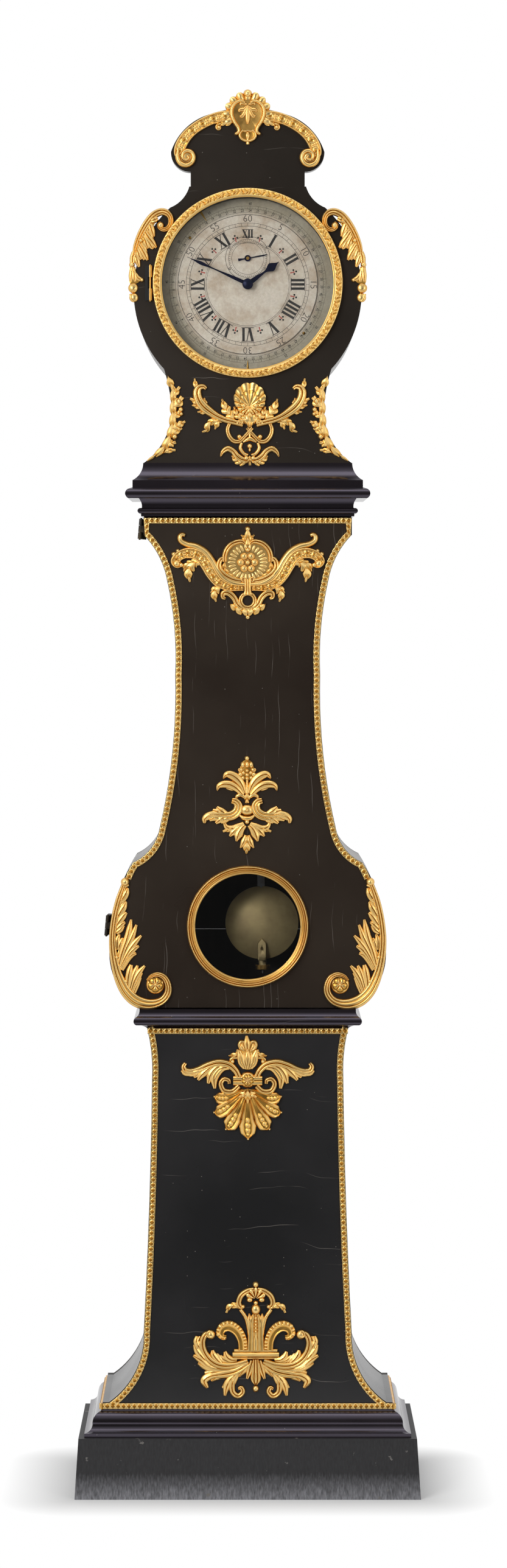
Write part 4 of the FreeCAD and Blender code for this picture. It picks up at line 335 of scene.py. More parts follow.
def inner_wood():
    """Dark stained carcass wood with its grain upright."""
    made, tree, shader, place = finish_of("stained_carcass_wood", Roughness=0.65, Specular_IOR_Level=0.25)
    drawn = add(tree, "Mapping", {"Vector": place, "Scale": WOOD_GRAIN})
    grain = add(tree, "TexNoise", {"Vector": drawn, "Scale": 1.0, "Detail": 6.0})
    mixed = add(tree, "Mix", {0: grain, 6: colour("#1c1a18"), 7: colour("#2e2926")}, data_type="RGBA")
    tree.links.new(mixed.outputs[2], shader.inputs["Base Color"])
    bump = add(tree, "Bump", {"Height": grain, "Strength": 0.2, "Distance": 0.0005})
    tree.links.new(bump.outputs[0], shader.inputs["Normal"])
    return made


# Back boards, floor board and seat: unpolished and nearly black behind the glass.
carcass = inner_wood()


def clear_glass():
    """Old clear glass: lets the lamps through and keeps a mirror-like surface."""
    made, tree, shader, _ = finish_of("clear_glass", Roughness=0.0, IOR=1.45, Transmission_Weight=1.0)
    through = add(tree, "BsdfTransparent")
    ray = add(tree, "LightPath")
    both = add(tree, "MixShader", {0: ray.outputs["Is Shadow Ray"], 1: shader, 2: through})
    tree.links.new(both.outputs[0], tree.nodes["Material Output"].inputs["Surface"])
    return made


# Dial glass and window glass: clear, with a thin reflection.
glass = clear_glass()


# Gut line: about 3.5 mm from one turn of its twist to the next.
TWIST = 180.0


def twisted_gut():
    """Gut line: yellow-brown, with its twist as slanted ridges."""
    made, tree, shader, place = finish_of("gut_line", Base_Color=colour("#8a6f45"), Roughness=0.5)
    twist = add(tree, "TexWave", {"Vector": place, "Scale": TWIST}, bands_direction="DIAGONAL")
    bump = add(tree, "Bump", {"Height": twist.outputs["Fac"], "Strength": 0.4, "Distance": 0.0003})
    tree.links.new(bump.outputs[0], shader.inputs["Normal"])
    return made


# Weight line: dull and slightly ridged.
gut = twisted_gut()


def clothe(material, *names):
    """Gives a finish to CAD pieces."""
    for name in names:
        nodes[name].data.materials.clear()
        nodes[name].data.materials.append(material)


clothe(door_black, "trunk_door", "trunk_sides")
clothe(panel_black, "hood_front", "hood_shell_boards", "hood_pediment")
clothe(base_black, "base_front_panel", "base_sides")
clothe(moulding_black, "plinth_moulding", "waist_moulding", "trunk_cornice", "hood_moulding")
clothe(plinth_black, "plinth_boards")
clothe(carcass, "base_back_board", "base_floor_board", "trunk_back_board", "hood_back_board", "movement_seat")
clothe(glass, "window_glass", "dial_glass")
clothe(silvered, "dial_plate", "calendar_ring")
clothe(blued, "minute_hand", "hour_hand", "seconds_hand")
clothe(brass, "movement_front_plate", "movement_back_plate", "great_wheel", "winding_barrel", "centre_wheel",
       "third_wheel", "escape_wheel", "cannon_pinion", "minute_wheel", "hour_wheel", "suspension_bracket",
       "drive_weight", "weight_pulley")
clothe(bob_brass, "pendulum_bob")
clothe(steel, "pallet_anchor", "knife_edge", "pendulum_rod")
clothe(dark_hinge, "door_hinge_case_leaves", "door_hinge_door_leaves", "door_hinge_pins")
clothe(hinge_gilt, "bezel_hinge")


# ---------------------------------------------------------------- chased relief

# Lengths are in mm: x and z on the face, heights out of it.
SUNK = -0.5  # the edges of a casting are let this far into the face
FINE = 200  # points to which a drawn line is refined
EDGE = 1e-6  # what lies this near to the end of a sheet is its outermost row


def even_line(points, count):
    """A smooth curve through the points, cut into even steps; what else the points carry is spread along it."""
    given = np.array(points, float)
    ends = np.vstack([2 * given[0] - given[1], given, 2 * given[-1] - given[-2]])
    t = np.linspace(0, 1, 24, endpoint=False)[:, None]
    fine = []
    for i in range(len(given) - 1):
        a, b, c, d = ends[i:i + 4]
        bend, twist = 2 * a - 5 * b + 4 * c - d, 3 * b - a - 3 * c + d
        fine.append(0.5 * (2 * b + (c - a) * t + bend * t ** 2 + twist * t ** 3))
    fine = np.vstack([*fine, given[-1:]])
    run = np.concatenate([[0], np.cumsum(np.hypot(*np.diff(fine[:, :2], axis=0).T))])
    even = np.linspace(0, run[-1], count)
    return np.column_stack([np.interp(even, run, fine[:, k]) for k in range(fine.shape[1])])


def corners_of(piece):
    """The places of a mesh's corners, one row for each."""
    spots = np.empty(len(piece.data.vertices) * 3)
    piece.data.vertices.foreach_get("co", spots)
    return spots.reshape(-1, 3)


def flat_sheet(along, across):
    """A flat sheet of faces with each corner's place along it (0 to 1) and across it (-1 to 1)."""
    bpy.ops.object.select_all(action="DESELECT")
    bpy.ops.mesh.primitive_grid_add(x_subdivisions=along, y_subdivisions=across, size=2)
    piece = bpy.context.object
    spots = corners_of(piece)
    return piece, (spots[:, 0] + 1) / 2, spots[:, 1]


def rimmed_sheet(along, across):
    """A flat sheet whose outermost row is a rim; places along and across run to its ends inside that rim."""
    piece, u, v = flat_sheet(along, across)
    rim = (u < EDGE) | (u > 1 - EDGE) | (np.abs(v) > 1 - EDGE)
    return piece, np.clip((u * along - 1) / (along - 2), 0, 1), np.clip(v * across / (across - 2), -1, 1), rim


def rimmed_disc(along, across):
    """A sheet to be closed round a middle: places along it go round, and from the middle (0) to its rim (1)."""
    piece, u, v = flat_sheet(along, across)
    return piece, u, np.clip((v + 1) / 2 * across / (across - 1), 0, 1), v > 1 - EDGE


def press(piece, x, z, height, level, root=None):
    """Presses a sheet into a relief: x and z lie on the face, height stands out of it, and level is how bright it is
    drawn, which paints shade in hollows and a highlight on ridges.

    The face is the plane at root, or the front of the case."""
    y = (FACE if root is None else root) - height
    piece.data.vertices.foreach_set("co", (np.column_stack([x, y, z]) * MM).ravel())
    mark = piece.data.attributes.new("relief", "FLOAT", "POINT")
    mark.data.foreach_set("value", np.clip(level, 0, 1).astype(np.float32))
    piece.data.update()
    return piece


def ribbon(points, widths):
    """Points of a stroke with the widths of its crest spread along it; its foot is a little wider."""
    spread = np.interp(np.linspace(0, 1, len(points)), np.linspace(0, 1, len(widths)), widths)
    return [(x, z, 1.15 * w) for (x, z), w in zip(points, spread)]


def stroke(points, widths, height, look, along=40, across=12, lift=0.0, root=None):
    """One chased stroke: points (x, z) along its middle, the widths of its crest, and look, which gives its section.

    Where widths is None, each point brings the width of the stroke's foot as its third number."""
    piece, u, v, rim = rimmed_sheet(along, across)
    line = even_line(points if widths is None else ribbon(points, widths), FINE)
    step, spread, rise, level = look(u, v)
    at, drawn = np.clip(u + step, 0, 1) * (FINE - 1), np.arange(FINE)
    x, z, width = (np.interp(at, drawn, line[:, k]) for k in range(3))
    dx, dz = np.gradient(line[:, 0]), np.gradient(line[:, 1])
    run = np.hypot(dx, dz) + 1e-9
    nx, nz = np.interp(at, drawn, -dz / run), np.interp(at, drawn, dx / run)
    half = np.maximum(width, 0.6) / 2 * spread * v
    # A narrow stroke stands lower than a broad one.
    tall = lift + height * rise * np.clip(0.35 + width / 16, 0.4, 1.0)
    # The sunk rim is drawn at relief level 0, which paints shade where the casting meets the face.
    return press(piece, x + nx * half, z + nz * half, np.where(rim, SUNK, tall), np.where(rim, 0.0, level), root)


# The looks below give a stroke's section at each place (u along, v across): how far its marks lean forward, how its
# width changes, its height and how bright it is drawn, which paints shade in its hollows and a highlight on its crests.

def leaf(lobes, lean=0.9):
    """An acanthus leaf: broad lobes lean forward on both sides of a raised rib, with chased furrows between them."""
    def look(u, v):
        edge = np.abs(v)
        phase = u * lobes % 1
        furrow = np.exp(-(np.minimum(phase, 1 - phase) / 0.14) ** 2)
        rib = np.exp(-(v / 0.14) ** 2)
        notch = 0.5 + 0.5 * (1 - np.abs(2 * phase - 1) ** 2.4)
        rise = 0.72 - 0.32 * edge ** 2 - 0.2 * furrow * np.sqrt(edge) + 0.14 * rib
        # Painted shade in the furrows and towards the lobes' edges, and a painted highlight along the rib.
        gilt_tone = 0.78 - 0.55 * furrow * np.sqrt(edge) + 0.25 * rib - 0.15 * edge ** 4
        return lean * edge ** 1.2 / lobes * 0.7, notch, rise, gilt_tone
    return look


def blade(u, v):
    """A plain pointed leaf with a crease along its middle and two veins."""
    edge = np.abs(v)
    crease = np.exp(-(v / 0.1) ** 2)
    vein = np.exp(-((edge - 0.5) / 0.1) ** 2)
    rise = 0.8 - 0.35 * edge ** 2.5 - 0.16 * crease - 0.07 * vein
    # Painted shade in the crease, in the veins and towards the edges.
    return 0.0, 1.0, rise, 0.9 - 0.5 * crease - 0.25 * vein - 0.3 * edge ** 4


def petal(u, v):
    """A fan lobe with a raised rim and a row of seeds towards its tip."""
    edge = np.abs(v)
    rim = np.exp(-((edge - 0.74) / 0.15) ** 2)
    seed = np.sqrt(np.maximum(0, 1 - ((u * 9 % 1 - 0.5) / 0.45) ** 2 - (v / 0.26) ** 2)) * (u > 0.55) * (u < 0.92)
    rise = 0.5 + 0.3 * rim + 0.28 * seed + 0.1 * (1 - u) * np.exp(-(v / 0.2) ** 2)
    # Painted highlight on the raised rim and on the seeds.
    return 0.0, 1 - 0.08 * np.abs(np.cos(math.pi * u * 5)) * (u > 0.5), rise, 0.45 + 0.45 * rim + 0.4 * seed


def reeded(reeds):
    """A scroll with that many rounded reeds side by side."""
    def look(u, v):
        wave = np.abs(np.cos(math.pi * (reeds * (v + 1) / 2 - 0.5))) ** 0.8
        # Painted highlight on the reeds' crests and painted shade in the grooves between them.
        return 0.0, 1.0, (0.6 + 0.32 * wave) * np.sqrt(1 - 0.5 * v ** 2), 0.25 + 0.65 * wave
    return look


def jewelled(count):
    """A channelled scroll with large oval jewels and small beads between its raised edges."""
    def look(u, v):
        phase = u * count % 1 - 0.5
        jewel = np.sqrt(np.maximum(0, 1 - (phase / 0.17) ** 2 - (v / 0.28) ** 2))
        collar = np.exp(-((np.hypot(phase / 0.26, v / 0.42) - 1) / 0.18) ** 2)
        small = np.sqrt(np.maximum(0, 1 - ((np.abs(phase) - 0.43) / 0.07) ** 2 - ((np.abs(v) - 0.2) / 0.18) ** 2))
        edge = np.exp(-((np.abs(v) - 0.8) / 0.15) ** 2)
        rise = 0.46 + 0.28 * jewel + 0.16 * collar + 0.22 * small + 0.36 * edge
        # Painted highlight on the collars, the small beads and the edges; the jewels are drawn darker.
        return 0.0, 1.0, rise, 0.6 - 0.55 * jewel + 0.35 * collar + 0.35 * small + 0.35 * edge
    return look


def beaded_edge(count):
    """A plain channelled scroll with a row of small beads along its outer edge."""
    def look(u, v):
        bead_row = np.sqrt(np.maximum(0, 1 - ((u * count % 1 - 0.5) / 0.4) ** 2 - ((v + 0.55) / 0.22) ** 2))
        edge = np.exp(-((np.abs(v) - 0.86) / 0.1) ** 2) + np.exp(-((v + 0.2) / 0.1) ** 2)
        # Painted highlight on the beads and on the edges.
        return 0.0, 1.0, 0.55 + 0.35 * bead_row + 0.2 * edge, 0.45 + 0.5 * bead_row + 0.35 * edge
    return look


def curl(centre, first, last, start, turn, width):
    """Points of a volute: from one radius to another while it turns, in degrees, narrowing to its eye."""
    steps = np.linspace(0, 1, 22)
    angle = np.radians(start + turn * steps)
    reach = first + (last - first) * steps
    return [(centre[0] + r * math.cos(a), centre[1] + r * math.sin(a), width * (1 - 0.4 * s))
            for r, a, s in zip(reach, angle, steps)]


def round_about(centre, radius, width):
    """Points of a full ring."""
    return [(centre[0] + radius * math.sin(a), centre[1] + radius * math.cos(a), width)
            for a in np.linspace(0, 2 * math.pi, 24)]


def scallop_shell(centre, reach, foot, flutes, height):
    """An oval shell: flutes spread from a point near its foot to an oval outline, crossed by growth lines."""
    along, across = flutes * 8, 20
    piece, u, v = flat_sheet(along, across)
    rim = np.abs(v) > 1 - EDGE
    w = (np.clip(v * across / (across - 2), -1, 1) + 1) / 2
    angle = 2 * math.pi * u
    sx, sz = np.sin(angle) / reach[0], np.cos(angle) / reach[1]
    fx, fz = (foot[0] - centre[0]) / reach[0], (foot[1] - centre[1]) / reach[1]
    a, b, c = sx ** 2 + sz ** 2, 2 * (fx * sx + fz * sz), fx ** 2 + fz ** 2 - 1
    out = (-b + np.sqrt(b ** 2 - 4 * a * c)) / (2 * a)
    flute = np.abs(np.sin(math.pi * u * flutes)) ** 0.8
    reach_out = out * (0.94 + 0.06 * flute)
    growth = np.exp(-((w - 0.62) / 0.05) ** 2)
    rise = height * (0.55 + 0.3 * flute * w + 0.25 * np.sin(math.pi * np.clip(w, 0, 0.95)) - 0.1 * growth)
    # Painted shade between the flutes and along the growth line, and a painted highlight on the flutes.
    level = 0.3 + 0.55 * flute - 0.25 * growth
    return press(piece, foot[0] + reach_out * w * np.sin(angle), foot[1] + reach_out * w * np.cos(angle),
                 np.where(rim & (w > 0.5), SUNK, rise), np.where(rim & (w > 0.5), 0.0, level))


def shell(centre, reach, opening, flutes, height, inner=0.12, scallop=0.12, along=72):
    """A fluted shell or fan, upright: reach is its (across, up) radius and opening its angle."""
    piece, u, v, rim = rimmed_sheet(along, 16)
    w = (v + 1) / 2
    flute = np.abs(np.sin(math.pi * u * flutes)) ** 0.7
    out = inner + (1 - scallop + scallop * flute - inner) * w
    angle = np.radians(opening * (u - 0.5))
    x = centre[0] + reach[0] * out * np.sin(angle)
    z = centre[1] + reach[1] * out * np.cos(angle)
    rise = height * (0.35 + 0.65 * flute * np.sqrt(0.15 + 0.85 * w)) * np.sqrt(1.02 - 0.6 * w ** 3)
    # Painted shade between the flutes and at the sunk rim, and a painted highlight on the flutes.
    return press(piece, x, z, np.where(rim, SUNK, rise), np.where(rim, 0.0, 0.3 + 0.65 * flute))


def rosette(centre, radius, petals, height, lift):
    """A round flower with a raised eye; its sheet closes on itself all round."""
    piece, u, w, rim = rimmed_disc(petals * 10, 14)
    lobe = np.abs(np.sin(math.pi * u * petals)) ** 0.6
    out = radius * w * (1 - 0.16 * (1 - lobe) * w)
    angle = 2 * math.pi * u
    eye = np.exp(-(w / 0.2) ** 2)
    rise = lift + height * (0.45 + 0.5 * lobe * np.sin(math.pi * np.clip(w, 0, 0.9)) + 0.35 * eye)
    # Painted shade between the petals and a painted highlight on the petals and on the eye.
    level = 0.15 + 0.7 * lobe * np.sin(math.pi * np.clip(w + 0.1, 0, 1)) + 0.5 * eye
    return press(piece, centre[0] + out * np.sin(angle), centre[1] + out * np.cos(angle),
                 np.where(rim, SUNK, rise), np.where(rim, 0.0, level))


def bead(centre, radius, height, lift=0.0, squash=1.0, root=None):
    """A round bead, half sunk in the face."""
    bpy.ops.object.select_all(action="DESELECT")
    bpy.ops.mesh.primitive_uv_sphere_add(segments=20, ring_count=12, radius=1)
    piece = bpy.context.object
    a, b, c = corners_of(piece).T
    # Painted highlight on the bead's crown and painted shade towards its foot.
    return press(piece, centre[0] + radius * a, centre[1] + squash * radius * c, lift - height * b, 0.35 - 0.6 * b,
                 root)


def joined(name, pieces):
    """Joins pieces into one."""
    bpy.ops.object.select_all(action="DESELECT")
    for piece in pieces:
        piece.select_set(True)
    bpy.context.view_layer.objects.active = pieces[0]
    if len(pieces) > 1:
        bpy.ops.object.join()
    bpy.context.object.name = name
    return bpy.context.object


WELD = 0.00002


def closed(piece):
    """Welds what meets, closes the backs and turns every face outwards."""
    bpy.ops.object.select_all(action="DESELECT")
    piece.select_set(True)
    bpy.context.view_layer.objects.active = piece
    bpy.ops.object.mode_set(mode="EDIT")
    bpy.ops.mesh.select_all(action="SELECT")
    bpy.ops.mesh.remove_doubles(threshold=WELD)
    bpy.ops.mesh.fill_holes(sides=0)
    bpy.ops.mesh.normals_make_consistent(inside=False)
    bpy.ops.object.mode_set(mode="OBJECT")
    bpy.ops.object.shade_smooth_by_angle(angle=math.radians(60))
    return piece


def settle(piece, material, body, slot, *stands_for):
    """Gives a finished piece its material, its body and the CAD pieces it stands for."""
    piece.data.materials.clear()
    piece.data.materials.append(material)
    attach(piece, body)
    if stands_for:
        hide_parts(*stands_for)
    return piece


def mirrored(piece):
    """Repeats a left side on the right."""
    mirror = piece.modifiers.new("other side", "MIRROR")
    mirror.use_mirror_merge = False
    bpy.ops.object.modifier_apply(modifier=mirror.name)
    return piece


def mount(name, body, sides, middle=(), place=(0.0, 0.0), inward=0.0):
    """Joins the strokes of one cast mount, repeats its left side on the right and sets it in place."""
    left = joined(name, sides)
    left.location.x = inward * MM
    bpy.ops.object.transform_apply(location=True, rotation=True, scale=True)
    whole = joined(name + "_relief", [*middle, mirrored(left)])
    whole.location = (place[0] * MM, 0, place[1] * MM)
    bpy.ops.object.transform_apply(location=True, rotation=True, scale=True)
    return settle(closed(whole), mount_gilt, body, "gilt_bronze", name)


def patch(points, height, dome, level):
    """A filled casting inside a closed outline, domed towards its middle, or sunk there where dome is below 0."""
    piece, u, w, rim = rimmed_disc(72, 10)
    line = even_line([*points, points[0]], FINE)
    x, z = (np.interp(u * (FINE - 1), np.arange(FINE), line[:, k]) for k in range(2))
    cx, cz = np.mean(points, axis=0)
    rise = height * (1 - max(dome, 0) * w ** 2 + min(dome, 0) * (1 - w ** 4))
    # Its rim is drawn at relief level 0, which paints shade where it meets the face.
    return press(piece, cx + (x - cx) * w, cz + (z - cz) * w, np.where(rim, SUNK, rise), np.where(rim, 0.0, level))


def both_sides(points):
    """An outline from its left half: the points and their mirror images."""
    return [*points, *[(-x, z) for x, z in reversed(points) if abs(x) > EDGE]]


# Crest on the pediment: a shield on a scalloped shell, with two jewelled arms rolling down to the corners.
mount("pediment_mount", "case", sides=[
    stroke([(-24, -3), (-36, -3), (-50, -6.5), (-66, -13.5), (-80, -22.5), (-91, -33), (-99, -46), (-102, -57),
            (-101.5, -64)], [14, 14, 14, 14, 14, 14.5, 15, 14, 10], 7.5, jewelled(6), along=140, across=20),
    bead((-92, -64.5), 12.4, 5.2),
    stroke([(-104, -53), (-104.6, -64), (-100.5, -72.5), (-92, -76.2), (-84, -72.5), (-80.6, -64.5), (-83.5, -57),
            (-90.5, -54.5), (-96.5, -58.5), (-97, -65), (-92.5, -68.5), (-88, -65.5), (-90, -61.5)],
           [4, 6, 6.5, 6.5, 6.5, 6.3, 6, 5.6, 5.2, 5, 4.6, 4.2, 3.6], 8, reeded(1), along=120, lift=2),
    stroke([(-20, -10), (-30, -13), (-40, -13.5), (-46, -15)], [6, 8, 7, 5], 6.5, leaf(3), along=44),
    stroke(curl((-43, -19.5), 4.6, 1.4, 110, 400, 3.8), None, 7, reeded(1), along=48),
    bead((-43, -19.5), 3.4, 5.5),
    stroke([(-4, 16.5), (-9, 19.5), (-17, 17), (-23, 9.5), (-24, -1), (-20, -11.5), (-14.5, -20), (-13.5, -26),
            (-17, -29.5)], [3.6, 4.4, 4.8, 5.2, 5.4, 5.4, 5.4, 5, 4.4], 9.5, reeded(1), along=80, across=10,
           lift=2.6),
    bead((-17.2, -29.3), 3, 8),
    stroke([(-1.5, 14), (-6, 15.5), (-9.5, 16.5), (-11, 13.5)], [3, 3.4, 3.4, 2.4], 5.5, reeded(1), lift=3.6),
    stroke([(-1, 11), (-4, 3), (-8, -3), (-11.5, -3.5)], [3, 4.8, 4.6, 2.6], 6, blade, lift=3.4),
    stroke([(-1.5, 11), (-6, 7), (-11, 6.5), (-13.5, 3.5)], [3, 4.6, 4.4, 2.4], 6, blade, lift=3.4),
    stroke([(-7, -24), (-11, -27.5), (-12, -32), (-9.5, -36.5), (-4.5, -39.5), (0, -40)], [3, 3.4, 3.6, 3.6, 3.4, 3],
           7, reeded(1), along=48, lift=2),
], middle=[
    patch(both_sides([(0, 21.5), (-9, 20.5), (-17, 16), (-22, 8), (-23, -1), (-19, -11.5), (-14, -20), (-12.5, -24)]),
          5, -0.15, 0.6),
    shell((0, 0), (36, 34.5), 244, 11, 7, inner=0.6, scallop=0.12, along=132),
    bead((0, 30.5), 6.6, 8.5),
    stroke([(0, 13), (0, 2), (0, -8), (0, -15)], [3, 5.8, 5.4, 2.2], 6.5, blade, lift=3.4),
    patch(both_sides([(0, -22), (-7, -23.5), (-11, -28), (-11, -33), (-8, -37.5), (0, -40)]), 4.4, -0.2, 0.4),
    stroke([(-9, -23.5), (-4, -25.5), (0, -24.5), (4, -25.5), (9, -23.5)], [3, 3.4, 3.4, 3.4, 3], 7.5, reeded(1),
           lift=1),
    stroke([(0, -27), (0, -32), (0, -37)], [2.5, 5, 2.5], 5, blade, lift=3),
    stroke([(0, -37), (0, -45)], [5, 5], 6.5, reeded(1)),
], place=(0, 2055.5))

# Scrolls at the hood's shoulders: a C-scroll over leaves, with a husk and buds hanging down beside the dial.
mount("hood_shoulder_mounts", "case", sides=[
    stroke([(-173.5, 41), (-170, 56), (-163, 74), (-153.5, 90), (-144, 101), (-133.5, 106), (-124.5, 104),
            (-119.5, 97.5), (-119, 89.5), (-122.5, 82.5), (-129, 79.5), (-135, 82), (-136.5, 87.5), (-133, 89.5)],
           [5, 8, 9, 10, 10, 9.5, 9, 8, 7.5, 7, 6.5, 6, 5, 4.5], 8.5, reeded(3), along=130, across=18),
    patch([(-174, 34), (-167, 62), (-158, 80), (-147, 93), (-140, 96), (-143, 88), (-148, 80), (-152, 66), (-159, 50),
           (-167, 32)], 4.5, 0.3, 0.5),
    bead((-134, 86), 5.2, 7, lift=1.5),
    stroke([(-149, 92), (-143, 94), (-138, 96)], [6, 8, 5], 7.5, reeded(2), lift=1),
    stroke([(-153, 92), (-149.5, 84), (-146.5, 76), (-144, 69)], [7, 9, 8, 3.5], 8, blade, along=44),
    stroke([(-156, 87), (-152, 79), (-149.5, 71)], [6, 8, 3.5], 7.5, blade),
    stroke([(-158, 82), (-150.5, 72), (-145.5, 64.5)], [6, 8, 3.5], 7.5, blade),
    stroke([(-160, 80), (-152.5, 68), (-146, 60), (-140.5, 52.5)], [7, 9, 8, 3.5], 8, blade, along=44),
    stroke([(-161, 76), (-153, 63), (-148, 54.5), (-145, 51)], [6, 8, 6.5, 3.5], 7.5, blade),
    stroke([(-162, 72), (-156, 60), (-152.5, 51.5)], [6, 8.5, 3.5], 7.5, blade),
    bead((-163.5, 63), 3.4, 5.5, lift=4.5),
    stroke([(-166, 62), (-159.5, 52), (-155, 45)], [6, 8, 3.5], 7.5, blade),
    stroke([(-168, 60), (-161, 48), (-156.5, 40.5), (-153.5, 34)], [7, 8.5, 7.5, 3.5], 8, blade, along=44),
    stroke([(-169, 57), (-163, 45), (-158, 34.5)], [6, 8, 3.5], 7.5, blade),
    stroke([(-170.5, 53), (-166.5, 42), (-163, 35)], [6, 8, 3.5], 7, blade),
    stroke([(-173, 44), (-169, 33), (-166, 24)], [6, 7.5, 3.5], 6.5, blade),
    stroke([(-173, 46), (-175.5, 38), (-176, 30)], [7, 7.5, 7], 7, reeded(2)),
    bead((-176.8, 27.3), 4.3, 6.5, lift=1),
    patch([(-180, 24), (-172, 24), (-170.5, 13), (-165, 4), (-171, -1), (-179.5, -1), (-181, 12)], 3.4, 0.3, 0.5),
    stroke([(-176, 24), (-177.5, 12), (-178.5, 2)], [5, 7, 4], 7, blade),
    stroke([(-175, 22), (-173.5, 12), (-172, 2)], [5, 7, 4], 7, blade),
    stroke([(-172, 14), (-168.5, 8), (-163, 5)], [5, 6.5, 5], 6.5, blade),
    bead((-161.8, 4.6), 3.3, 5.5), bead((-174.8, -7.4), 7.6, 4.6),
    stroke(curl((-174.6, -7.6), 5.4, 1.2, 60, 420, 3.8), None, 5, reeded(1), along=48, lift=2),
    bead((-173.8, -21.6), 7, 4.4),
    stroke(curl((-172.6, -21), 3.8, 1.0, 90, 300, 3.0), None, 4.5, reeded(1), along=32, lift=2),
    stroke([(-179, -16), (-177, -23), (-173, -27.5)], [3, 4.6, 3], 5, blade, lift=1.5),
], place=(0, DIAL_Z), inward=4.3)

# Leaves at the hood's lower corners: a curved stem with overlapping lobes and small fruits.
mount("hood_corner_mounts", "case", sides=[
    stroke([(-121.5, 131), (-119, 122), (-113, 110)], [4, 10, 6], 7, leaf(2)),
    stroke([(-113.5, 115), (-113.5, 92), (-114, 70), (-116, 50), (-122, 32), (-133, 17), (-152, 3)],
           [7, 9, 9, 10, 10, 9, 2], 7.5, leaf(7, 0.5), along=110, across=12),
    stroke([(-114, 96), (-109, 106), (-104, 113.5)], [7, 9, 4], 7, leaf(2)),
    stroke([(-114, 82), (-107, 89), (-100, 98.5)], [8, 14, 6], 7, leaf(2)),
    bead((-105, 91.5), 3.2, 4, lift=4.5, squash=1.4), bead((-102.3, 79.5), 4, 6, lift=1),
    bead((-101.5, 73), 3.2, 5.5, lift=1),
    stroke([(-115, 66), (-108, 72), (-103, 77)], [7, 10, 6], 6.5, leaf(2)),
    stroke([(-115, 50), (-106, 56), (-95.5, 62)], [8, 12, 3], 7, leaf(3)),
    stroke([(-117, 42), (-109, 47), (-100.5, 52)], [7, 9, 3], 6.5, leaf(2)),
    bead((-111.5, 39), 4.4, 6.5, lift=1),
    stroke([(-122, 24), (-116, 29), (-109.5, 31)], [8, 11, 4], 6.5, leaf(2)),
    stroke([(-129, 14), (-120, 18.5), (-110, 19)], [7, 8, 3], 6.5, leaf(2)),
], place=(0, HOOD_Z), inward=2.6)

# Shell at the middle of the hood's foot: leafy branches to both sides, crossed straps and a pendant below.
mount("hood_centre_mount", "case", sides=[
    stroke([(-10, 57), (-24, 61), (-36, 64), (-48, 69), (-60, 76.5), (-70, 85), (-76.5, 95), (-78.5, 105),
            (-75.5, 112), (-69, 113.5), (-65, 110.5)], [7, 8, 8.5, 9.5, 12, 13, 12, 11.5, 9, 7, 5], 7.5, reeded(2),
           along=110, across=14),
    stroke([(-80, 108), (-81, 117), (-82, 126)], [4, 7, 2], 6, leaf(2)),
    stroke([(-74, 86), (-81, 92), (-89, 96)], [7, 9, 3], 6.5, leaf(2)),
    stroke([(-70, 79), (-77, 84), (-86, 86)], [7, 8, 2], 6.5, leaf(2)),
    stroke([(-62, 73), (-69, 76), (-78, 76)], [6, 8, 2], 6.5, leaf(2)),
    stroke([(-64, 82), (-67, 89), (-67.5, 97)], [6, 8, 2], 6.5, leaf(2)),
    stroke([(-22, 64), (-29, 72), (-36, 81), (-41.5, 95.5)], [7, 12, 13, 2], 7, leaf(4), along=48),
    stroke([(-28, 68), (-33, 76), (-32, 86)], [5, 7, 2], 6.5, leaf(2)),
    stroke([(-30, 62), (-44, 63.5), (-56, 61.5), (-63, 55.5), (-64, 49), (-71, 46)], [5, 7, 9, 9, 7, 2], 6.5, leaf(4),
           along=56),
    stroke([(-44, 63), (-49, 57), (-52, 50)], [6, 8, 2], 6, leaf(2)),
    stroke([(-30, 59), (-33, 50), (-30.5, 40), (-23.5, 32.5), (-15, 32.5), (-7, 40), (4, 52)],
           [5, 5.5, 6, 6, 5.5, 5, 5], 6.5, reeded(2), along=70),
    bead((-15.5, 39), 3.8, 5.5, lift=1),
    stroke(curl((-13.8, 59.6), 5.0, 1.5, 200, -380, 4.0), None, 8, reeded(1), along=48, lift=1),
    stroke([(-7, 60), (-14, 67), (-20, 74), (-23, 84)], [6, 11, 10, 3], 7.5, leaf(4), along=48),
    stroke([(-4, 64), (-10, 71), (-16, 80)], [6, 9, 3], 7.5, leaf(3), lift=1),
    stroke([(-12, 30), (-14, 22), (-9, 14), (-3, 11)], [4, 5, 5, 5], 6.5, reeded(1)),
    stroke([(-3, 3), (-12, 5), (-19, 10), (-25, 17.5), (-33, 21), (-40, 16.5), (-43.5, 9.5)], [7, 9, 9, 8, 8, 6, 2],
           6.5, reeded(2), along=64),
    stroke([(-4, 0), (-14, 1), (-21, 5), (-27, 11)], [7, 10, 9, 2], 6.5, leaf(4), along=44),
    bead((-5, 7), 4.2, 6.5, lift=1),
], middle=[
    scallop_shell((0, 96), (24, 24), (0, 84), 15, 7.5),
    stroke([(0, 84), (0, 75), (0, 62)], [3, 9, 5], 6.5, leaf(3), lift=3),
    bead((0, 66), 14, 6.5, squash=0.7), bead((-9, 85), 3.6, 4, lift=5), bead((9, 85), 3.6, 4, lift=5),
    stroke([(0, 64), (0, 53)], [16, 5], 7, reeded(3)),
    stroke([(0, 50), (0, 38)], [3, 4], 5.5, reeded(1)),
    stroke([(-10, 31), (0, 36), (10, 31)], [3, 6, 3], 6, reeded(1)),
    bead((0, 25), 4.2, 6), bead((0, 19.5), 2.2, 5, squash=1.6),
    stroke([(0, 12), (0, 4), (0.5, -4)], [8, 9, 3], 7, leaf(2)),
], place=(3, HOOD_Z))

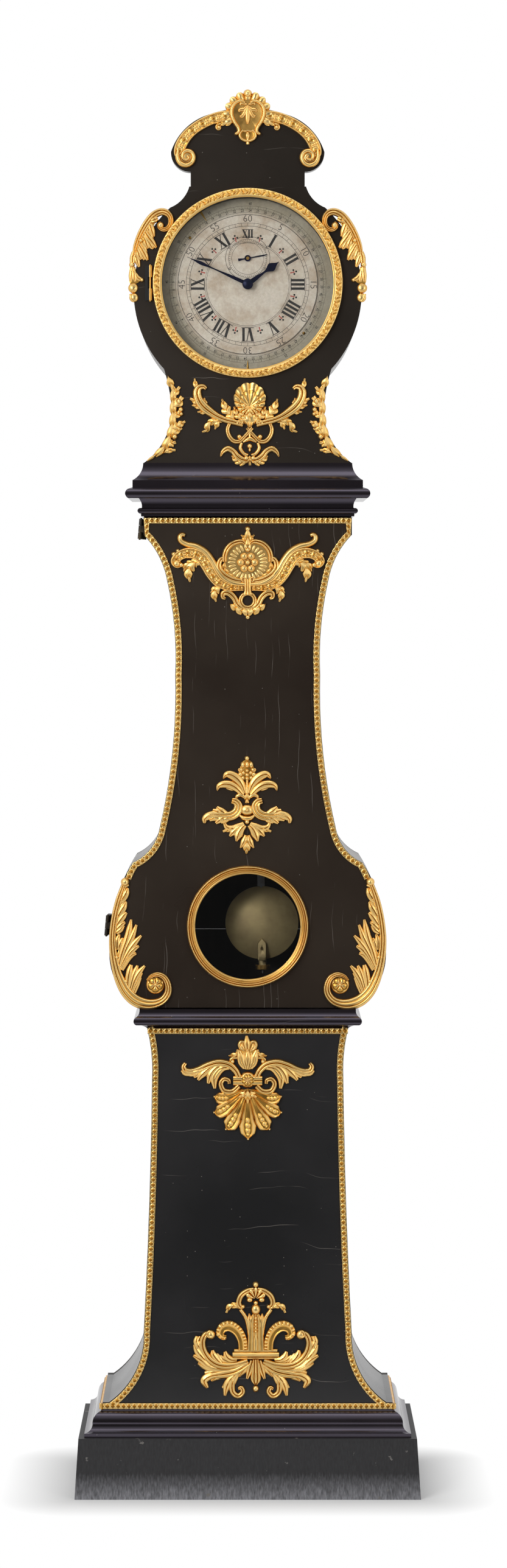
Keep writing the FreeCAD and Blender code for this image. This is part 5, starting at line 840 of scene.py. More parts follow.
# Cartouche at the top of the door: a flower in a fluted dish, carried by two long horns over an open basket.
mount("door_upper_mount", "trunk_door", sides=[
    stroke([(-4, 28.5), (-8, 32), (-15, 31.8), (-24, 28), (-31, 20.5), (-34.5, 11), (-34.5, 2)],
           [4, 6, 7, 7.5, 7.5, 7, 6], 9.5, reeded(2), along=70),
    stroke([(-33, 8), (-40, 5), (-43, -3), (-41, -11), (-33, -19), (-21, -25), (-10, -27)], [5, 7, 8, 9, 9, 8, 6],
           8.5, reeded(2), along=70),
    stroke([(-33, 4), (-35, -6), (-29, -16), (-18, -23)], [4, 6, 6, 4], 8, leaf(4), lift=1),
    stroke(curl((-6, -24.5), 3.6, 1.2, -90, -400, 3.4), None, 8.5, reeded(1), along=44, lift=1),
    stroke([(-4, -32), (-20, -30.5), (-35, -22.5), (-46, -9), (-54.5, 5.5), (-64, 17), (-77, 24.5), (-91, 28),
            (-99.5, 33), (-101, 39), (-97.5, 42.5), (-93.5, 41)], [6, 8, 9, 9, 9, 9, 9, 8, 7.5, 7, 6, 5], 8,
           reeded(1), along=120),
    stroke([(-6, -37), (-27, -36), (-43, -29), (-53.5, -17), (-61.5, -3), (-70, 8.5), (-80, 14), (-92, 14.5),
            (-102, 10.5), (-108, 3), (-104.5, -3), (-98.5, -1)], [8, 10, 13, 14.5, 15.5, 15, 14, 13.5, 13, 12, 9, 6],
           9, jewelled(13), along=150, across=18),
    bead((-106, -1), 6.2, 6.5, lift=1), bead((-99, -3), 4, 6, lift=1), bead((-110, 13), 4, 5.5),
    bead((-104, 18), 3.4, 5.5),
    stroke([(-66, -5), (-76, 0.5), (-84.5, -5), (-88.5, -15), (-86, -28.5)], [6, 11, 14, 13, 2], 7, leaf(4), along=52,
           across=14),
    stroke([(-76, 1), (-85, 1), (-92, -4), (-95, -13)], [5, 7, 8, 2], 6.5, leaf(3)),
    stroke([(-38, -36), (-46, -40), (-50, -47), (-47, -58)], [6, 11, 11, 2], 7, leaf(3)),
    stroke([(-42, -36), (-50, -39), (-55, -45)], [5, 8, 2], 6.5, leaf(2)),
    stroke([(-16, -61), (-21, -51), (-29, -44.5), (-36, -45), (-37, -51), (-33, -53)], [8, 9, 9, 8, 6, 4], 7.5,
           reeded(2), along=60),
    stroke([(-28, -60), (-21, -65.5), (-11, -71), (0, -73)], [3, 9, 11, 11], 7.5, leaf(3, 0.5)),
    stroke([(-18, -56), (-14, -63), (-6, -70)], [4, 8, 5], 7, reeded(2)),
], middle=[
    stroke([(0, 55), (0, 46), (0, 36), (0, 27)], [4, 9, 8, 10], 7, leaf(2)),
    stroke([(-3, 30), (-6, 38), (-10, 42)], [4, 6, 2], 7, leaf(2)),
    stroke([(3, 30), (6, 38), (10, 42)], [4, 6, 2], 7, leaf(2)),
    bead((0, 50.6), 4.4, 6.5),
    patch(both_sides([(0, 31), (-18, 28), (-31, 15), (-36, 0), (-32, -16), (-18, -27), (0, -30)]), 3.4, -0.1, 0.72),
    shell((0, 0.8), (29.5, 27.5), 359, 26, 5, inner=0.62, scallop=0.1, along=208),
    *[bead((10.3 * math.sin(math.radians(a)), 0.8 + 10.3 * math.cos(math.radians(a))), 5.5, 3.0,
           lift=3.6) for a in range(30, 390, 60)],
    *[bead((10.6 * math.sin(math.radians(a)), 0.8 + 10.6 * math.cos(math.radians(a))), 3.6, 1.6,
           lift=5.8) for a in range(30, 390, 60)],
    bead((0, 0.8), 3.9, 4.4, lift=4.5), bead((0, 19.5), 3.4, 4, lift=3.5),
    stroke([(0, -24), (0, -33), (0, -41), (0, -47)], [11, 10, 10, 14], 8, reeded(3), across=16),
    stroke(round_about((0, -56), 10.6, 7.0), None, 7, reeded(2), along=72, lift=0.5),
    bead((0, -80.8), 3.7, 5),
], place=(0, 1387))

# Leaf spray on the door above the window: four curling leaves, two leafy arms and a hanging fan.
mount("door_centre_mount", "trunk_door", sides=[
    stroke([(-3, 27), (-8, 40), (-15, 48.5), (-24, 54), (-31, 54), (-35.5, 48.5)], [5, 9, 11, 10.5, 8, 2], 8, blade,
           along=60),
    stroke([(-8, 40), (-15, 44), (-22, 45)], [4, 6, 2], 6.5, blade),
    stroke([(-6, 24), (-15, 33.5), (-25, 39), (-35, 40), (-42, 37), (-44.5, 30.5)], [6, 9, 10.5, 9.5, 7, 2], 8, blade,
           along=60),
    stroke([(-15, 33), (-23, 33.5), (-31, 34)], [4, 6, 2], 6.5, blade),
    stroke([(-22.5, 15.5), (-17, 14), (-13, 8), (-15, -1), (-24, -7), (-38, -8), (-51, -5.5), (-60, -9),
            (-62.5, -17)], [8, 10, 12, 13, 13, 12, 10, 8, 2], 8, reeded(3), along=96, across=16),
    stroke([(-40, -6), (-50, -5), (-58, -7.5), (-63, -12), (-63.5, -18)], [8, 9.5, 10, 8, 3.5], 8.5, blade, along=52,
           lift=0.6),
    stroke([(-30, -4), (-38, 0), (-45, 6)], [6, 9, 4], 7, blade, lift=1.2),
    stroke([(-38, -4), (-44, -1), (-51, 1.5)], [6, 8, 4], 7, blade, lift=1.2),
    stroke([(-40, -8), (-49, -10), (-56, -13.5)], [6, 8.5, 4], 7, blade, lift=1.2),
    stroke([(-31, -8), (-39, -12), (-46.5, -18)], [6, 9.5, 4], 7, blade, lift=1.2),
    stroke([(-25, -8), (-32, -12.5), (-39, -17)], [6, 8.5, 4], 7, blade, lift=1.2),
    stroke([(-5, -19), (-13, -23), (-22, -26), (-30, -24), (-34, -17.5)], [6, 9, 9, 7, 4], 7.5, blade, along=52),
    stroke([(-18, -24), (-27, -27), (-36, -30.5)], [6, 8, 3], 7, leaf(2)),
    stroke([(-4, -20), (-13, -25), (-20, -31), (-26, -37.5)], [6, 10, 10, 3], 7.5, blade),
    stroke([(-3, -21), (-9, -27), (-13, -35), (-16, -45)], [6, 10, 11, 3], 8, blade),
    stroke([(-2, -36), (-5, -46), (-10, -55)], [4, 8, 2], 7, blade),
    bead((-6.2, 68.6), 3.8, 6, squash=1.4), bead((-8.6, 61.6), 3.2, 5.5), bead((-10, 54.6), 4, 6),
    bead((-5.4, 57), 3.4, 5.5), bead((-6.2, 49.4), 3.4, 5),
    stroke([(-6, 58), (-10, 60.5), (-13, 62.5)], [4, 5.5, 3], 6, blade),
    stroke([(-3, 20), (-9, 24), (-15, 22), (-16, 18)], [5, 6, 5, 3], 7, reeded(1)),
], middle=[
    bead((0, 78.5), 4, 6), bead((0, 69), 3.8, 7, squash=1.5), bead((0, 60.3), 2.6, 4, lift=4), bead((0, 54), 3.6, 6),
    bead((0, 48.6), 3.2, 5.5),
    patch(both_sides([(0, 77), (-6, 74), (-10, 66), (-11.5, 60), (-12.5, 53), (-8, 47), (0, 46)]), 3.6, 0.2, 0.5),
    stroke([(0, 50), (0, 38), (0, 24)], [4, 4.5, 6], 6.5, reeded(1)),
    stroke([(0, 29), (0, 22), (0, 12)], [4, 9, 6], 8, leaf(2)),
    bead((0, 1.4), 11, 6.5, squash=0.78), bead((0, 1.4), 2.6, 4, lift=5),
    stroke([(-12, -5.5), (-6, -10), (0, -11), (6, -10), (12, -5.5)], [3, 6, 7, 6, 3], 8.5, reeded(1), along=48),
    bead((0, -16), 4.2, 7),
    stroke([(0, -34), (0, -46), (-0.5, -56), (-1, -64)], [5, 9, 10, 2], 7.5, leaf(3)),
], place=(-1, 1017.5))

# Scrolls at the door's lower corners: a long leafy C ending in a flower disc, with a knob at its top.
mount("door_corner_mounts", "trunk_door", sides=[
    stroke([(-186.5, 184), (-193.5, 164), (-199, 143), (-202.3, 123), (-203.8, 104), (-202.5, 83), (-199, 63),
            (-193.5, 45), (-184.5, 27), (-172, 14), (-157.5, 7.5), (-143, 7), (-130, 12), (-122, 22), (-120.7, 34),
            (-126, 46), (-136, 51), (-146, 48.5), (-152, 42)],
           [7, 9, 9, 9, 9, 10, 11, 13, 14.5, 15.5, 15, 13, 11, 10, 9, 8, 7, 5.5, 4], 8, reeded(3), along=190,
           across=18),
    bead((-139.8, 36), 14.2, 4.5),
    rosette((-139.8, 36), 11.5, 5, 4, lift=3.6),
    bead((-139.8, 36), 2.6, 4, lift=5),
    patch([(-187, 180), (-194, 160), (-200, 138), (-202, 116), (-194, 120), (-189, 134), (-187, 152), (-184, 168)],
          4.5, 0.3, 0.62),
    stroke([(-193.5, 157), (-188, 165), (-183.5, 173), (-181, 180)], [6, 10, 9, 3.5], 7.5, blade, along=44),
    stroke([(-196, 148), (-189.5, 154), (-183.5, 160)], [6, 8, 3.5], 7, blade),
    stroke([(-198.5, 132), (-192, 144), (-187, 152), (-183.5, 159)], [6, 10, 9, 3.5], 7.5, blade, along=44),
    stroke([(-199, 122), (-191, 134), (-186, 140), (-182.5, 143)], [6, 9, 7.5, 3.5], 7.5, blade),
    stroke([(-199, 117), (-191, 125), (-185, 129)], [6, 8, 3.5], 7, blade),
    stroke([(-198.5, 113), (-192, 118), (-187, 124)], [6, 7.5, 3.5], 7, blade),
    stroke([(-196, 88), (-196.5, 102), (-193.5, 111)], [6, 8, 3], 7, blade),
    stroke([(-194.5, 88), (-192, 98), (-188.5, 105.5)], [6, 7, 3], 7, blade),
    patch([(-200, 58), (-199, 74), (-194, 88), (-186, 98), (-179, 104), (-172, 99), (-174, 90), (-179, 82),
           (-187, 72), (-193, 54)], 4.5, 0.3, 0.62),
    stroke([(-195.5, 60), (-190, 82), (-182.5, 104), (-178.5, 120), (-176, 133)], [7, 8.5, 9, 7.5, 3.5], 8, blade,
           along=56),
    stroke([(-186, 92), (-183.5, 104), (-181.5, 116)], [5, 6.5, 3], 7, blade),
    stroke([(-193, 64), (-184, 88), (-174.5, 108), (-168, 125)], [6, 8, 8, 3.5], 7.8, blade, along=52),
    stroke([(-192, 62), (-181, 84), (-171, 98), (-161, 109)], [6, 8, 8, 3.5], 7.8, blade, along=52),
    stroke([(-191, 60), (-181, 78), (-173, 88), (-164.5, 93.5)], [6, 7.5, 7.5, 3.5], 7.4, blade),
    stroke([(-190, 58), (-182, 72), (-175.5, 79.5), (-168.5, 82.5)], [6, 7, 6.5, 3.5], 7, blade),
    bead((-197.5, 77), 3.2, 5.5, lift=2), bead((-183.8, 41), 3.2, 5.5, lift=2),
    patch([(-184, 26), (-182, 44), (-178, 56), (-172, 52), (-166, 46), (-166, 38), (-170, 26)], 4.5, 0.3, 0.62),
    stroke([(-181.5, 28), (-180.5, 44), (-178.5, 56), (-176, 65.5)], [7, 8.5, 8.5, 5], 7.8, blade, along=44),
    stroke([(-178, 28), (-173.5, 46), (-170, 56), (-166.5, 64.5)], [6, 7.5, 7, 3.5], 7.4, blade),
    stroke([(-176, 26), (-170, 44), (-163.5, 55), (-155.8, 64)], [6, 8, 7.5, 3.5], 7.6, blade, along=44),
    stroke([(-174, 26), (-168, 40), (-160, 53.5)], [6, 7, 3.5], 7.2, blade),
    stroke([(-172, 24), (-167, 36), (-161.8, 46.5)], [6, 6.5, 3.5], 7, blade),
    bead((-185, 188.7), 6.4, 7.5, lift=1),
    stroke([(-190, 186), (-185, 183), (-179.5, 184)], [3, 5, 3], 8, reeded(1)),
], place=(0, TRUNK_Z), inward=2.4)

# Fan at the top of the base panel: a bud in its calyx, two leafy arms and C-scrolls over a wide palmette.
mount("base_upper_mount", "case", sides=[
    stroke([(-13, 5), (-18, 15), (-28, 23.5), (-43, 26.5), (-58, 23), (-73, 16.5), (-85, 13.5), (-93, 15.5),
            (-95.5, 21), (-92.5, 26)], [8, 9, 10, 10.5, 10, 9, 8.5, 8, 7, 5], 8, reeded(2), along=96, across=14),
    patch([(-24, 16), (-30, 25), (-44, 27), (-60, 23), (-78, 15), (-92, 15), (-92, 11), (-82, 9), (-70, 8), (-58, 5),
           (-52, 1), (-46, 9), (-38, 15)], 4, 0.3, 0.55),
    stroke([(-27, 20), (-37, 19), (-45, 13), (-50, 3), (-49, -11.5)], [6, 9, 11, 10, 4], 7, blade, along=52, lift=1),
    stroke([(-36, 23), (-47, 19), (-55, 9.5), (-59, -4)], [6, 9, 9.5, 4], 7, blade, along=48, lift=1),
    stroke([(-46, 23), (-57, 18.5), (-67, 10), (-74, 1)], [6, 9, 9, 4], 7, blade, along=48, lift=1),
    stroke([(-53, 21), (-64, 16.5), (-73, 10.5), (-80, 5)], [5, 7.5, 7.5, 3.5], 6.5, blade, lift=1),
    stroke([(-63, 19), (-74, 14), (-82, 10.5), (-90, 8.5)], [6, 8.5, 8, 4], 7, blade, lift=1),
    stroke([(-76, 14), (-86, 11.5), (-93, 12), (-98.5, 15.5)], [6, 8, 8, 4], 7, blade, lift=1),
    stroke([(-8, 34), (-13, 39), (-20, 38.5), (-28.5, 36.5)], [6, 8, 7, 2], 7, leaf(3)),
    stroke([(-8, 36), (-12, 42), (-16.5, 46)], [5, 6, 2], 6.5, blade),
    stroke([(-14, 34), (-22, 33.5)], [4, 4], 6, reeded(1)),
    bead((-22.6, 28.5), 3.6, 5.5, lift=1),
    stroke([(-22, 34), (-25.5, 31), (-24, 27)], [4, 4, 3], 6, reeded(1)),
    stroke([(-4, 44), (-10, 47.5), (-12.6, 53), (-10.5, 58), (-6, 57.6), (-4, 53.5)], [4, 4.6, 4.8, 4.4, 4, 3], 8,
           reeded(1), along=52),
    stroke([(-4.5, 45), (-8, 50), (-8.2, 55)], [3, 5, 3], 6.5, blade, lift=2),
    stroke([(-4, 19), (-8.5, 27), (-10.5, 36), (-13, 45)], [6, 9.5, 9, 4], 6, blade, lift=3),
    stroke([(-1.5, 18), (-3.5, 29), (-4.5, 42)], [5, 7.5, 4], 6, blade, lift=3.4),
    stroke([(-13, -8), (-23, -16), (-35, -15), (-40, -5), (-35.5, 2), (-28.5, 0.5), (-27.5, -4.5)],
           [7, 7.5, 7.5, 7, 6.5, 6, 5], 8, reeded(2), along=80),
    stroke([(-6, -15), (-20, -22), (-31, -26), (-39, -26.5), (-45, -25), (-49, -24)], [6, 10, 15, 17, 13, 4], 7,
           petal, along=60, across=18),
    stroke([(-5, -17), (-19, -30), (-30, -39), (-39, -45), (-45, -47), (-49, -47.5)], [6, 10, 16, 19, 15, 4], 7,
           petal, along=60, across=18),
    stroke([(-3, -18), (-11, -38), (-18, -52), (-24, -62.5), (-28, -68), (-31.5, -72)], [6, 10, 17, 21, 17, 4], 7.2,
           petal, along=60, across=18),
    bead((-49.5, -24), 2, 4), bead((-50, -47.5), 2, 4), bead((-32.5, -72.5), 2, 4),
    stroke([(-3, -14), (-8, -21), (-13, -25)], [6, 9, 3], 7, leaf(2), lift=3),
    bead((-7, -21.5), 3.2, 4, lift=6),
], middle=[
    patch(both_sides([(0, -12), (-16, -16), (-32, -24), (-32, -38), (-20, -52), (0, -58)]), 3.4, 0.2, 0.6),
    stroke([(0, -18), (0, -40), (0, -56), (0.2, -70), (0.4, -79), (0.5, -86)], [6, 11, 17, 23, 18, 4], 7.5, petal,
           along=64, across=18),
    bead((0.5, -87), 2.2, 4),
    stroke([(0, -12), (0, -22), (0, -34)], [7, 10, 2], 7, leaf(2), lift=3.5),
    patch(both_sides([(0, 60), (-7, 58), (-12, 53), (-10, 47), (-5, 43)]), 4.2, 0.2, 0.55),
    patch(both_sides([(0, 47), (-7, 46), (-13, 44), (-14.5, 36), (-12, 26), (-7, 18.5), (0, 16.5)]), 6, 0.5, 0.5),
    stroke([(-0.5, 45), (-1, 56), (-1.6, 67)], [6, 9, 3.5], 8, blade, lift=0.5),
    bead((-0.6, 46), 2.2, 3.5, lift=6),
    stroke([(0, 22), (0, 34), (0, 44.5)], [4, 8, 3.5], 6, blade, lift=4.6),
    stroke([(-21.5, 0), (0, 0), (21.5, 0)], [13, 13, 13], 7.5, reeded(2)),
    bead((0, 1.2), 12.6, 7.5),
    rosette((0, 1.2), 9, 8, 3, lift=6),
], place=(0, 616))

# Scroll group low on the base panel: an arch over a beaded spear, beaded C-scrolls and curling leaves.
mount("base_lower_mount", "case", sides=[
    stroke([(-3, 96), (-13, 93.5), (-22, 86.5), (-25.5, 77), (-23, 70.5), (-18, 70)], [6, 7, 7.5, 7.5, 7, 5], 7.5,
           reeded(2), along=60),
    bead((-19, 70.5), 3.4, 6.5, lift=1),
    stroke([(-9, 20), (-11, 38), (-15, 54), (-23, 66)], [5, 5, 5, 5], 6.5, reeded(1)),
    stroke([(-23, 66), (-30, 71.5), (-39, 71), (-44, 61)], [5, 8, 8, 3], 7, leaf(3)),
    stroke([(-8, 40), (-9, 50), (-9.5, 60)], [7, 7, 2], 7, blade),
    stroke([(-19, 6), (-20.5, 21), (-27, 34), (-38.5, 41.5), (-49, 39), (-53, 31), (-49, 25.5), (-44, 25)],
           [12, 12.5, 13.5, 14, 13, 11, 8, 6], 7.5, beaded_edge(17), along=150, across=18),
    stroke([(-14, -14), (-34, -21), (-55, -21.5), (-71, -14), (-82, 0), (-85.5, 14), (-82, 26)],
           [8, 10, 11, 11, 10, 9, 5], 6.5, reeded(2), along=90),
    stroke([(-12, -11), (-32, -17), (-53, -17), (-68, -9), (-77, 4), (-79.5, 17), (-76, 27.5), (-69, 32)],
           [8, 9, 9.5, 9.5, 9, 8.5, 8, 6], 8, reeded(2), along=110),
    bead((-67, 28.5), 7.2, 7, lift=1),
    stroke(curl((-68, 29), 5.6, 1.6, 90, 400, 3.2), None, 5, reeded(1), along=44, lift=5.5),
    stroke([(-54, -24), (-66, -22.5), (-77, -17.5), (-86, -13.5)], [6, 9, 9, 4], 7.5, blade, along=44),
    stroke([(-58, -22), (-70, -19), (-81, -9.5), (-93, -2.5)], [6, 9.5, 9.5, 4], 8, blade, along=44),
    stroke([(-72, -12), (-80, -4), (-87, 4.5), (-91.5, 14)], [6, 9.5, 9, 4], 8, blade, along=44),
    stroke([(-80, 4), (-85.5, 12), (-88.5, 19), (-87.5, 26.5)], [6, 8.5, 8, 4], 7.5, blade),
    stroke([(-50, -15), (-58, -8), (-63, -1), (-64.5, 5.5)], [6, 9.5, 9, 4], 7.5, blade, along=44),
    stroke([(-47, -14), (-54, -7), (-58.5, 0)], [5, 8, 4], 7, blade),
    stroke([(-28, -9), (-37, -8.5), (-43, -4), (-46, 3.5)], [6, 9, 8.5, 4], 7.5, blade, along=44),
    stroke([(-29, -12), (-40, -11.5), (-48, -8), (-53, -3)], [5, 7.5, 7, 3.5], 7, blade),
    stroke([(-10, -14), (-30, -26), (-50, -30.5), (-63, -31.5)], [8, 11, 11, 8], 7.5, reeded(2), along=70),
    stroke([(-56, -31), (-68, -33), (-77, -40), (-72, -50.5)], [8, 10, 10, 4], 8, blade, along=48),
    stroke([(-50, -27), (-63, -27), (-76, -28.5)], [6, 8.5, 4], 7, blade),
    stroke([(-46, -31), (-57, -34), (-66.5, -40)], [6, 8.5, 4], 7, blade),
    stroke([(-24, -25), (-36, -36), (-43, -48), (-46, -62)], [7, 10, 9.5, 4], 7.5, blade, along=48),
    stroke([(-30, -31), (-40, -40), (-49, -51)], [6, 9, 4], 7, blade),
    stroke([(-27, -30), (-34, -42), (-39, -54)], [6, 8.5, 4], 7, blade),
    stroke([(-30, -28), (-35, -44), (-34, -57), (-26, -62.5), (-19.5, -57), (-21.5, -50.5), (-26, -52)],
           [6, 8, 8, 7.5, 7, 6, 4], 7.5, reeded(2), along=64),
    stroke([(-10, -14), (-18, -24), (-25, -34)], [6, 9, 3], 7, blade),
    stroke([(-5, -10), (-9, -24), (-13, -37)], [7, 9, 4], 7, reeded(2)),
    bead((-9, 80.5), 5, 6.5, squash=0.85),
], middle=[
    bead((0, 103), 4.6, 6.5),
    shell((0, 82), (15, 17), 170, 5, 7.5, scallop=0.16),
    bead((0, 76), 4, 7), bead((0, 66), 7.4, 7.5, squash=1.12),
    stroke([(0, 60), (0, 46), (0, 26), (0, 5)], [9, 19, 21, 23], 6.5, reeded(5), along=60, across=20),
    *[bead((0, z), 2.3, 4, lift=4.5) for z in (54, 49, 44, 39, 34)],
    stroke([(0, 30), (0, 20), (0, 6)], [3, 6, 6], 5, reeded(1), lift=3),
    stroke([(-32, 4.5), (0, 4.5), (32, 4.5)], [5, 5, 5], 7, reeded(1)),
    stroke([(-34.5, -1), (0, -1), (34.5, -1)], [8, 8, 8], 9.5, reeded(1)),
    stroke([(-32, -6), (0, -6), (32, -6)], [4.5, 4.5, 4.5], 7, reeded(1)),
    stroke([(0, -8), (0, -24), (0, -38), (0, -46)], [9, 11, 14, 5], 8, reeded(3), along=48, across=14),
    bead((0, -52), 5, 6.5, squash=1.1),
], place=(12, 209))


# ---------------------------------------------------------------- borders and rings

def arc(start, end, sag, steps):
    """Points of a bow from start to end; sag is how far it stands to the right of the way, in mm."""
    a, b = np.array(start, float), np.array(end, float)
    chord = np.hypot(*(b - a))
    radius = (chord ** 2 / 4 + sag ** 2) / (2 * sag)
    right = np.array([b[1] - a[1], a[0] - b[0]]) / chord
    middle = (a + b) / 2 + right * (sag - radius)
    first = math.atan2(*(a - middle)[::-1])
    turn = (math.atan2(*(b - middle)[::-1]) - first + math.pi) % (2 * math.pi) - math.pi
    return [(middle[0] + abs(radius) * math.cos(first + turn * t),
             middle[1] + abs(radius) * math.sin(first + turn * t))
            for t in np.linspace(0, 1, steps, endpoint=False)]


BAND = 8.4  # the border's width
PEARL_PITCH = 8.0  # from one pearl to the next
BORDER_HEIGHT = 5.0


def border_length(line, root=None):
    """One straight or bowed length of the gilt border: a row of pearls drawn dark, which paints the reflection of the
    dim room in them, on a bright band.
    """
    line = np.array(line, float)
    run = np.concatenate([[0], np.cumsum(np.hypot(*np.diff(line, axis=0).T))])
    count = max(2, round(run[-1] / PEARL_PITCH))
    piece, u, v, rim = rimmed_sheet(count * 10, 12)
    at = u * run[-1]
    dx, dz = np.gradient(line[:, 0], run), np.gradient(line[:, 1], run)
    length = np.hypot(dx, dz)
    x, z = np.interp(at, run, line[:, 0]), np.interp(at, run, line[:, 1])
    nx, nz = np.interp(at, run, -dz / length), np.interp(at, run, dx / length)
    phase = u * count % 1 - 0.5
    pearl = np.sqrt(np.maximum(0, 1 - (phase / 0.34) ** 2 - (v / 0.6) ** 2))
    collar = np.exp(-((np.hypot(phase / 0.42, v / 0.74) - 1) / 0.16) ** 2)
    edge = np.exp(-((np.abs(v) - 0.86) / 0.12) ** 2)
    rise = BORDER_HEIGHT * (0.45 + 0.5 * pearl + 0.08 * collar + 0.12 * edge)
    # The pearls' dark is a painted reflection; the collars and the edges get a painted highlight.
    level = 0.72 - 0.8 * np.sqrt(pearl) + 0.25 * collar + 0.25 * edge
    half = BAND / 2 * v
    return press(piece, x + nx * half, z + nz * half, np.where(rim, SUNK, rise), np.where(rim, 0.0, level), root)


def inside(line, way):
    """The line moved sideways by way, to the left of its direction."""
    line = np.array(line, float)
    step = np.gradient(line, axis=0)
    step /= np.hypot(*step.T)[:, None]
    return line + way * np.column_stack([-step[:, 1], step[:, 0]])


def bows(corners, sags, steps):
    """A line of bows through the corners, with the sag and the number of points of each."""
    return [point for start, end, sag, count in zip(corners, corners[1:], sags, steps)
            for point in arc(start, end, sag, count)]


TOP_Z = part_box("trunk_door")[1].z / MM
DOOR_HALF = 154.5  # half the door's width at its head
BASE_HALF, BASE_HEAD = 149.2, BASE_Z + 567  # half the base panel's width at its head, and that head's height
FLANK_X = 216.0  # the base's flanks
door_side = [*bows([(181.8, TRUNK_Z + 195), (170.2, TRUNK_Z + 217.5), (130.7, TRUNK_Z + 268), (107.2, TRUNK_Z + 497),
                    (119.4, TRUNK_Z + 638), (DOOR_HALF, 1429)], [0.8, -8, -7.5, -4.8, -5.8], [6, 12, 30, 20, 14]),
             (DOOR_HALF, 1429), (DOOR_HALF, TOP_Z - 1)]
base_side = [*bows([(206.2, BASE_Z + BAND), (154.2, BASE_Z + 113.5), (141.7, BASE_Z + 493.5), (BASE_HALF, BASE_HEAD)],
                   [-15, -2, -2.7], [20, 40, 12]), (BASE_HALF, BASE_HEAD)]


def across(x, middle):
    """A level length of border from -x to x, its middle at one height."""
    return border_length([(px, middle) for px in np.linspace(x, -x, 60)])


def border(name, body, sides, middle):
    """Joins the lengths of one border, its left side repeated on the right."""
    left = mirrored(joined(name, sides))
    return settle(closed(joined(name + "_relief", [*middle, left])), mount_gilt, body, "gilt_bronze", name)


# Border of the door: both sides and the top.
border("door_gilt_border", "trunk_door", [border_length(inside(door_side, BAND / 2))],
       [across(DOOR_HALF, TOP_Z - BAND / 2)])

# Border of the base: a frame, with its foot carried back along the flanks.
flank = border_length([(y, BASE_Z + BAND / 2) for y in np.linspace(-100, 120, 60)], 0.0)
x, y, z = corners_of(flank).T
flank.data.vertices.foreach_set("co", np.column_stack([FLANK_X * MM - y, x, z]).ravel())
border("base_gilt_border", "case", [border_length(inside(base_side, BAND / 2)), flank],
       [across(BASE_HALF, BASE_HEAD - BAND / 2), across(221, BASE_Z + BAND / 2)])


def ring(name, body, centre_z, inner, outer, back, height, look, around, rows):
    """A turned ring with a chased front; its section runs round from the middle of its back."""
    piece, u, v = flat_sheet(around, rows)
    edge = np.abs(v) > 1 - EDGE
    wall = (np.abs(v) > 1 - 2 / rows - EDGE) & ~edge
    w = np.clip(v * rows / (rows - 4), -1, 1)
    radius = np.where(edge, (inner + outer) / 2, (inner + outer) / 2 + (outer - inner) / 2 * w)
    rise, level = look(u, w)
    angle = 2 * math.pi * u
    # The ring's walls are drawn at a low relief level, which paints shade on them.
    press(piece, radius * np.sin(angle), centre_z + radius * np.cos(angle),
          np.where(edge | wall, 0.0, height * rise), np.where(edge | wall, 0.2, level), back)
    return settle(closed(piece), mount_gilt, body, "gilt_bronze", name)


def leafy(count):
    """A running leaf scroll between two plain edges: a waving stem with leaves curling off to both sides."""
    def look(u, v):
        turn = 2 * math.pi * count * u
        off = v - 0.12 - 0.34 * np.sin(turn)
        stem = np.exp(-(off / 0.13) ** 2)
        lean = 1.5 * turn + 2.4 * np.abs(off) + 0.7 * np.sin(turn / 3)
        leaves = np.abs(np.sin(lean)) * (0.75 + 0.25 * np.cos(5 * math.pi * off))
        scroll = np.maximum(stem, leaves)
        band = np.clip((0.62 - np.abs(v - 0.12)) / 0.1, 0, 1)
        lip = np.exp(-((v - 0.88) / 0.1) ** 2) + np.exp(-((v + 0.66) / 0.16) ** 2)
        arch = np.sqrt(1 - 0.72 * np.clip(np.abs(v - 0.15), 0, 1) ** 2)
        rise = 0.82 * arch + band * (0.2 * scroll - 0.1) + 0.06 * lip
        # Painted shade between the leaves and a painted highlight on the stem, the leaves and the lips.
        return rise, 0.16 + 0.76 * np.clip(band * scroll + lip + (1 - band) * 0.5, 0, 1)
    return look


def turned(u, v):
    """A round outer bead, a hollow, two reeds and a thin inner lip stepping down towards the glass."""
    w = (v + 1) / 2
    crest = np.zeros_like(w)
    for middle, half, tall in [(0.86, 0.15, 1.0), (0.6, 0.1, 0.82), (0.4, 0.08, 0.68), (0.15, 0.14, 0.5)]:
        crest = np.maximum(crest, tall * np.sqrt(np.maximum(0.0, 1 - ((w - middle) / half) ** 2)))
    ground = 0.3 + 0.38 * w
    rise = np.maximum(crest, ground)
    # Brighter the higher a crest stands over the hollow beside it: a painted highlight on the crests and painted shade
    # in the hollows.
    return rise, np.clip(0.58 + 2.2 * (rise - ground), 0.5, 1.0)


# Gilt rings round the dial and the window.
ring("dial_bezel", "dial_door", DIAL_Z, inner=128, outer=141.5, back=-95.4, height=11.5, look=leafy(42),
     around=1260, rows=24)
WINDOW_Z = (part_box("window_bezel")[0].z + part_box("window_bezel")[1].z) / 2 / MM
ring("window_bezel", "trunk_door", WINDOW_Z, inner=78.5, outer=90.5, back=-95.0, height=9.0, look=turned,
     around=240, rows=52)


# ---------------------------------------------------------------- dial

def quad(corners):
    """A flat engraved mark with four corners, in mm on the drawing board."""
    bpy.ops.object.select_all(action="DESELECT")
    bpy.ops.mesh.primitive_plane_add(size=1)
    piece = bpy.context.object
    for index, corner in zip((0, 1, 3, 2), corners):
        piece.data.vertices[index].co = (corner[0] * MM, corner[1] * MM, 0)
    return piece


def turn_to(piece, angle, centre=(0, 0)):
    """Turns a mark clockwise about the middle of the drawing board, then moves that middle to a centre."""
    c, s = math.cos(math.radians(angle)), math.sin(math.radians(angle))
    for vertex in piece.data.vertices:
        x, y = vertex.co.x, vertex.co.y
        vertex.co.x, vertex.co.y = x * c + y * s + centre[0] * MM, y * c - x * s + centre[1] * MM
    return piece


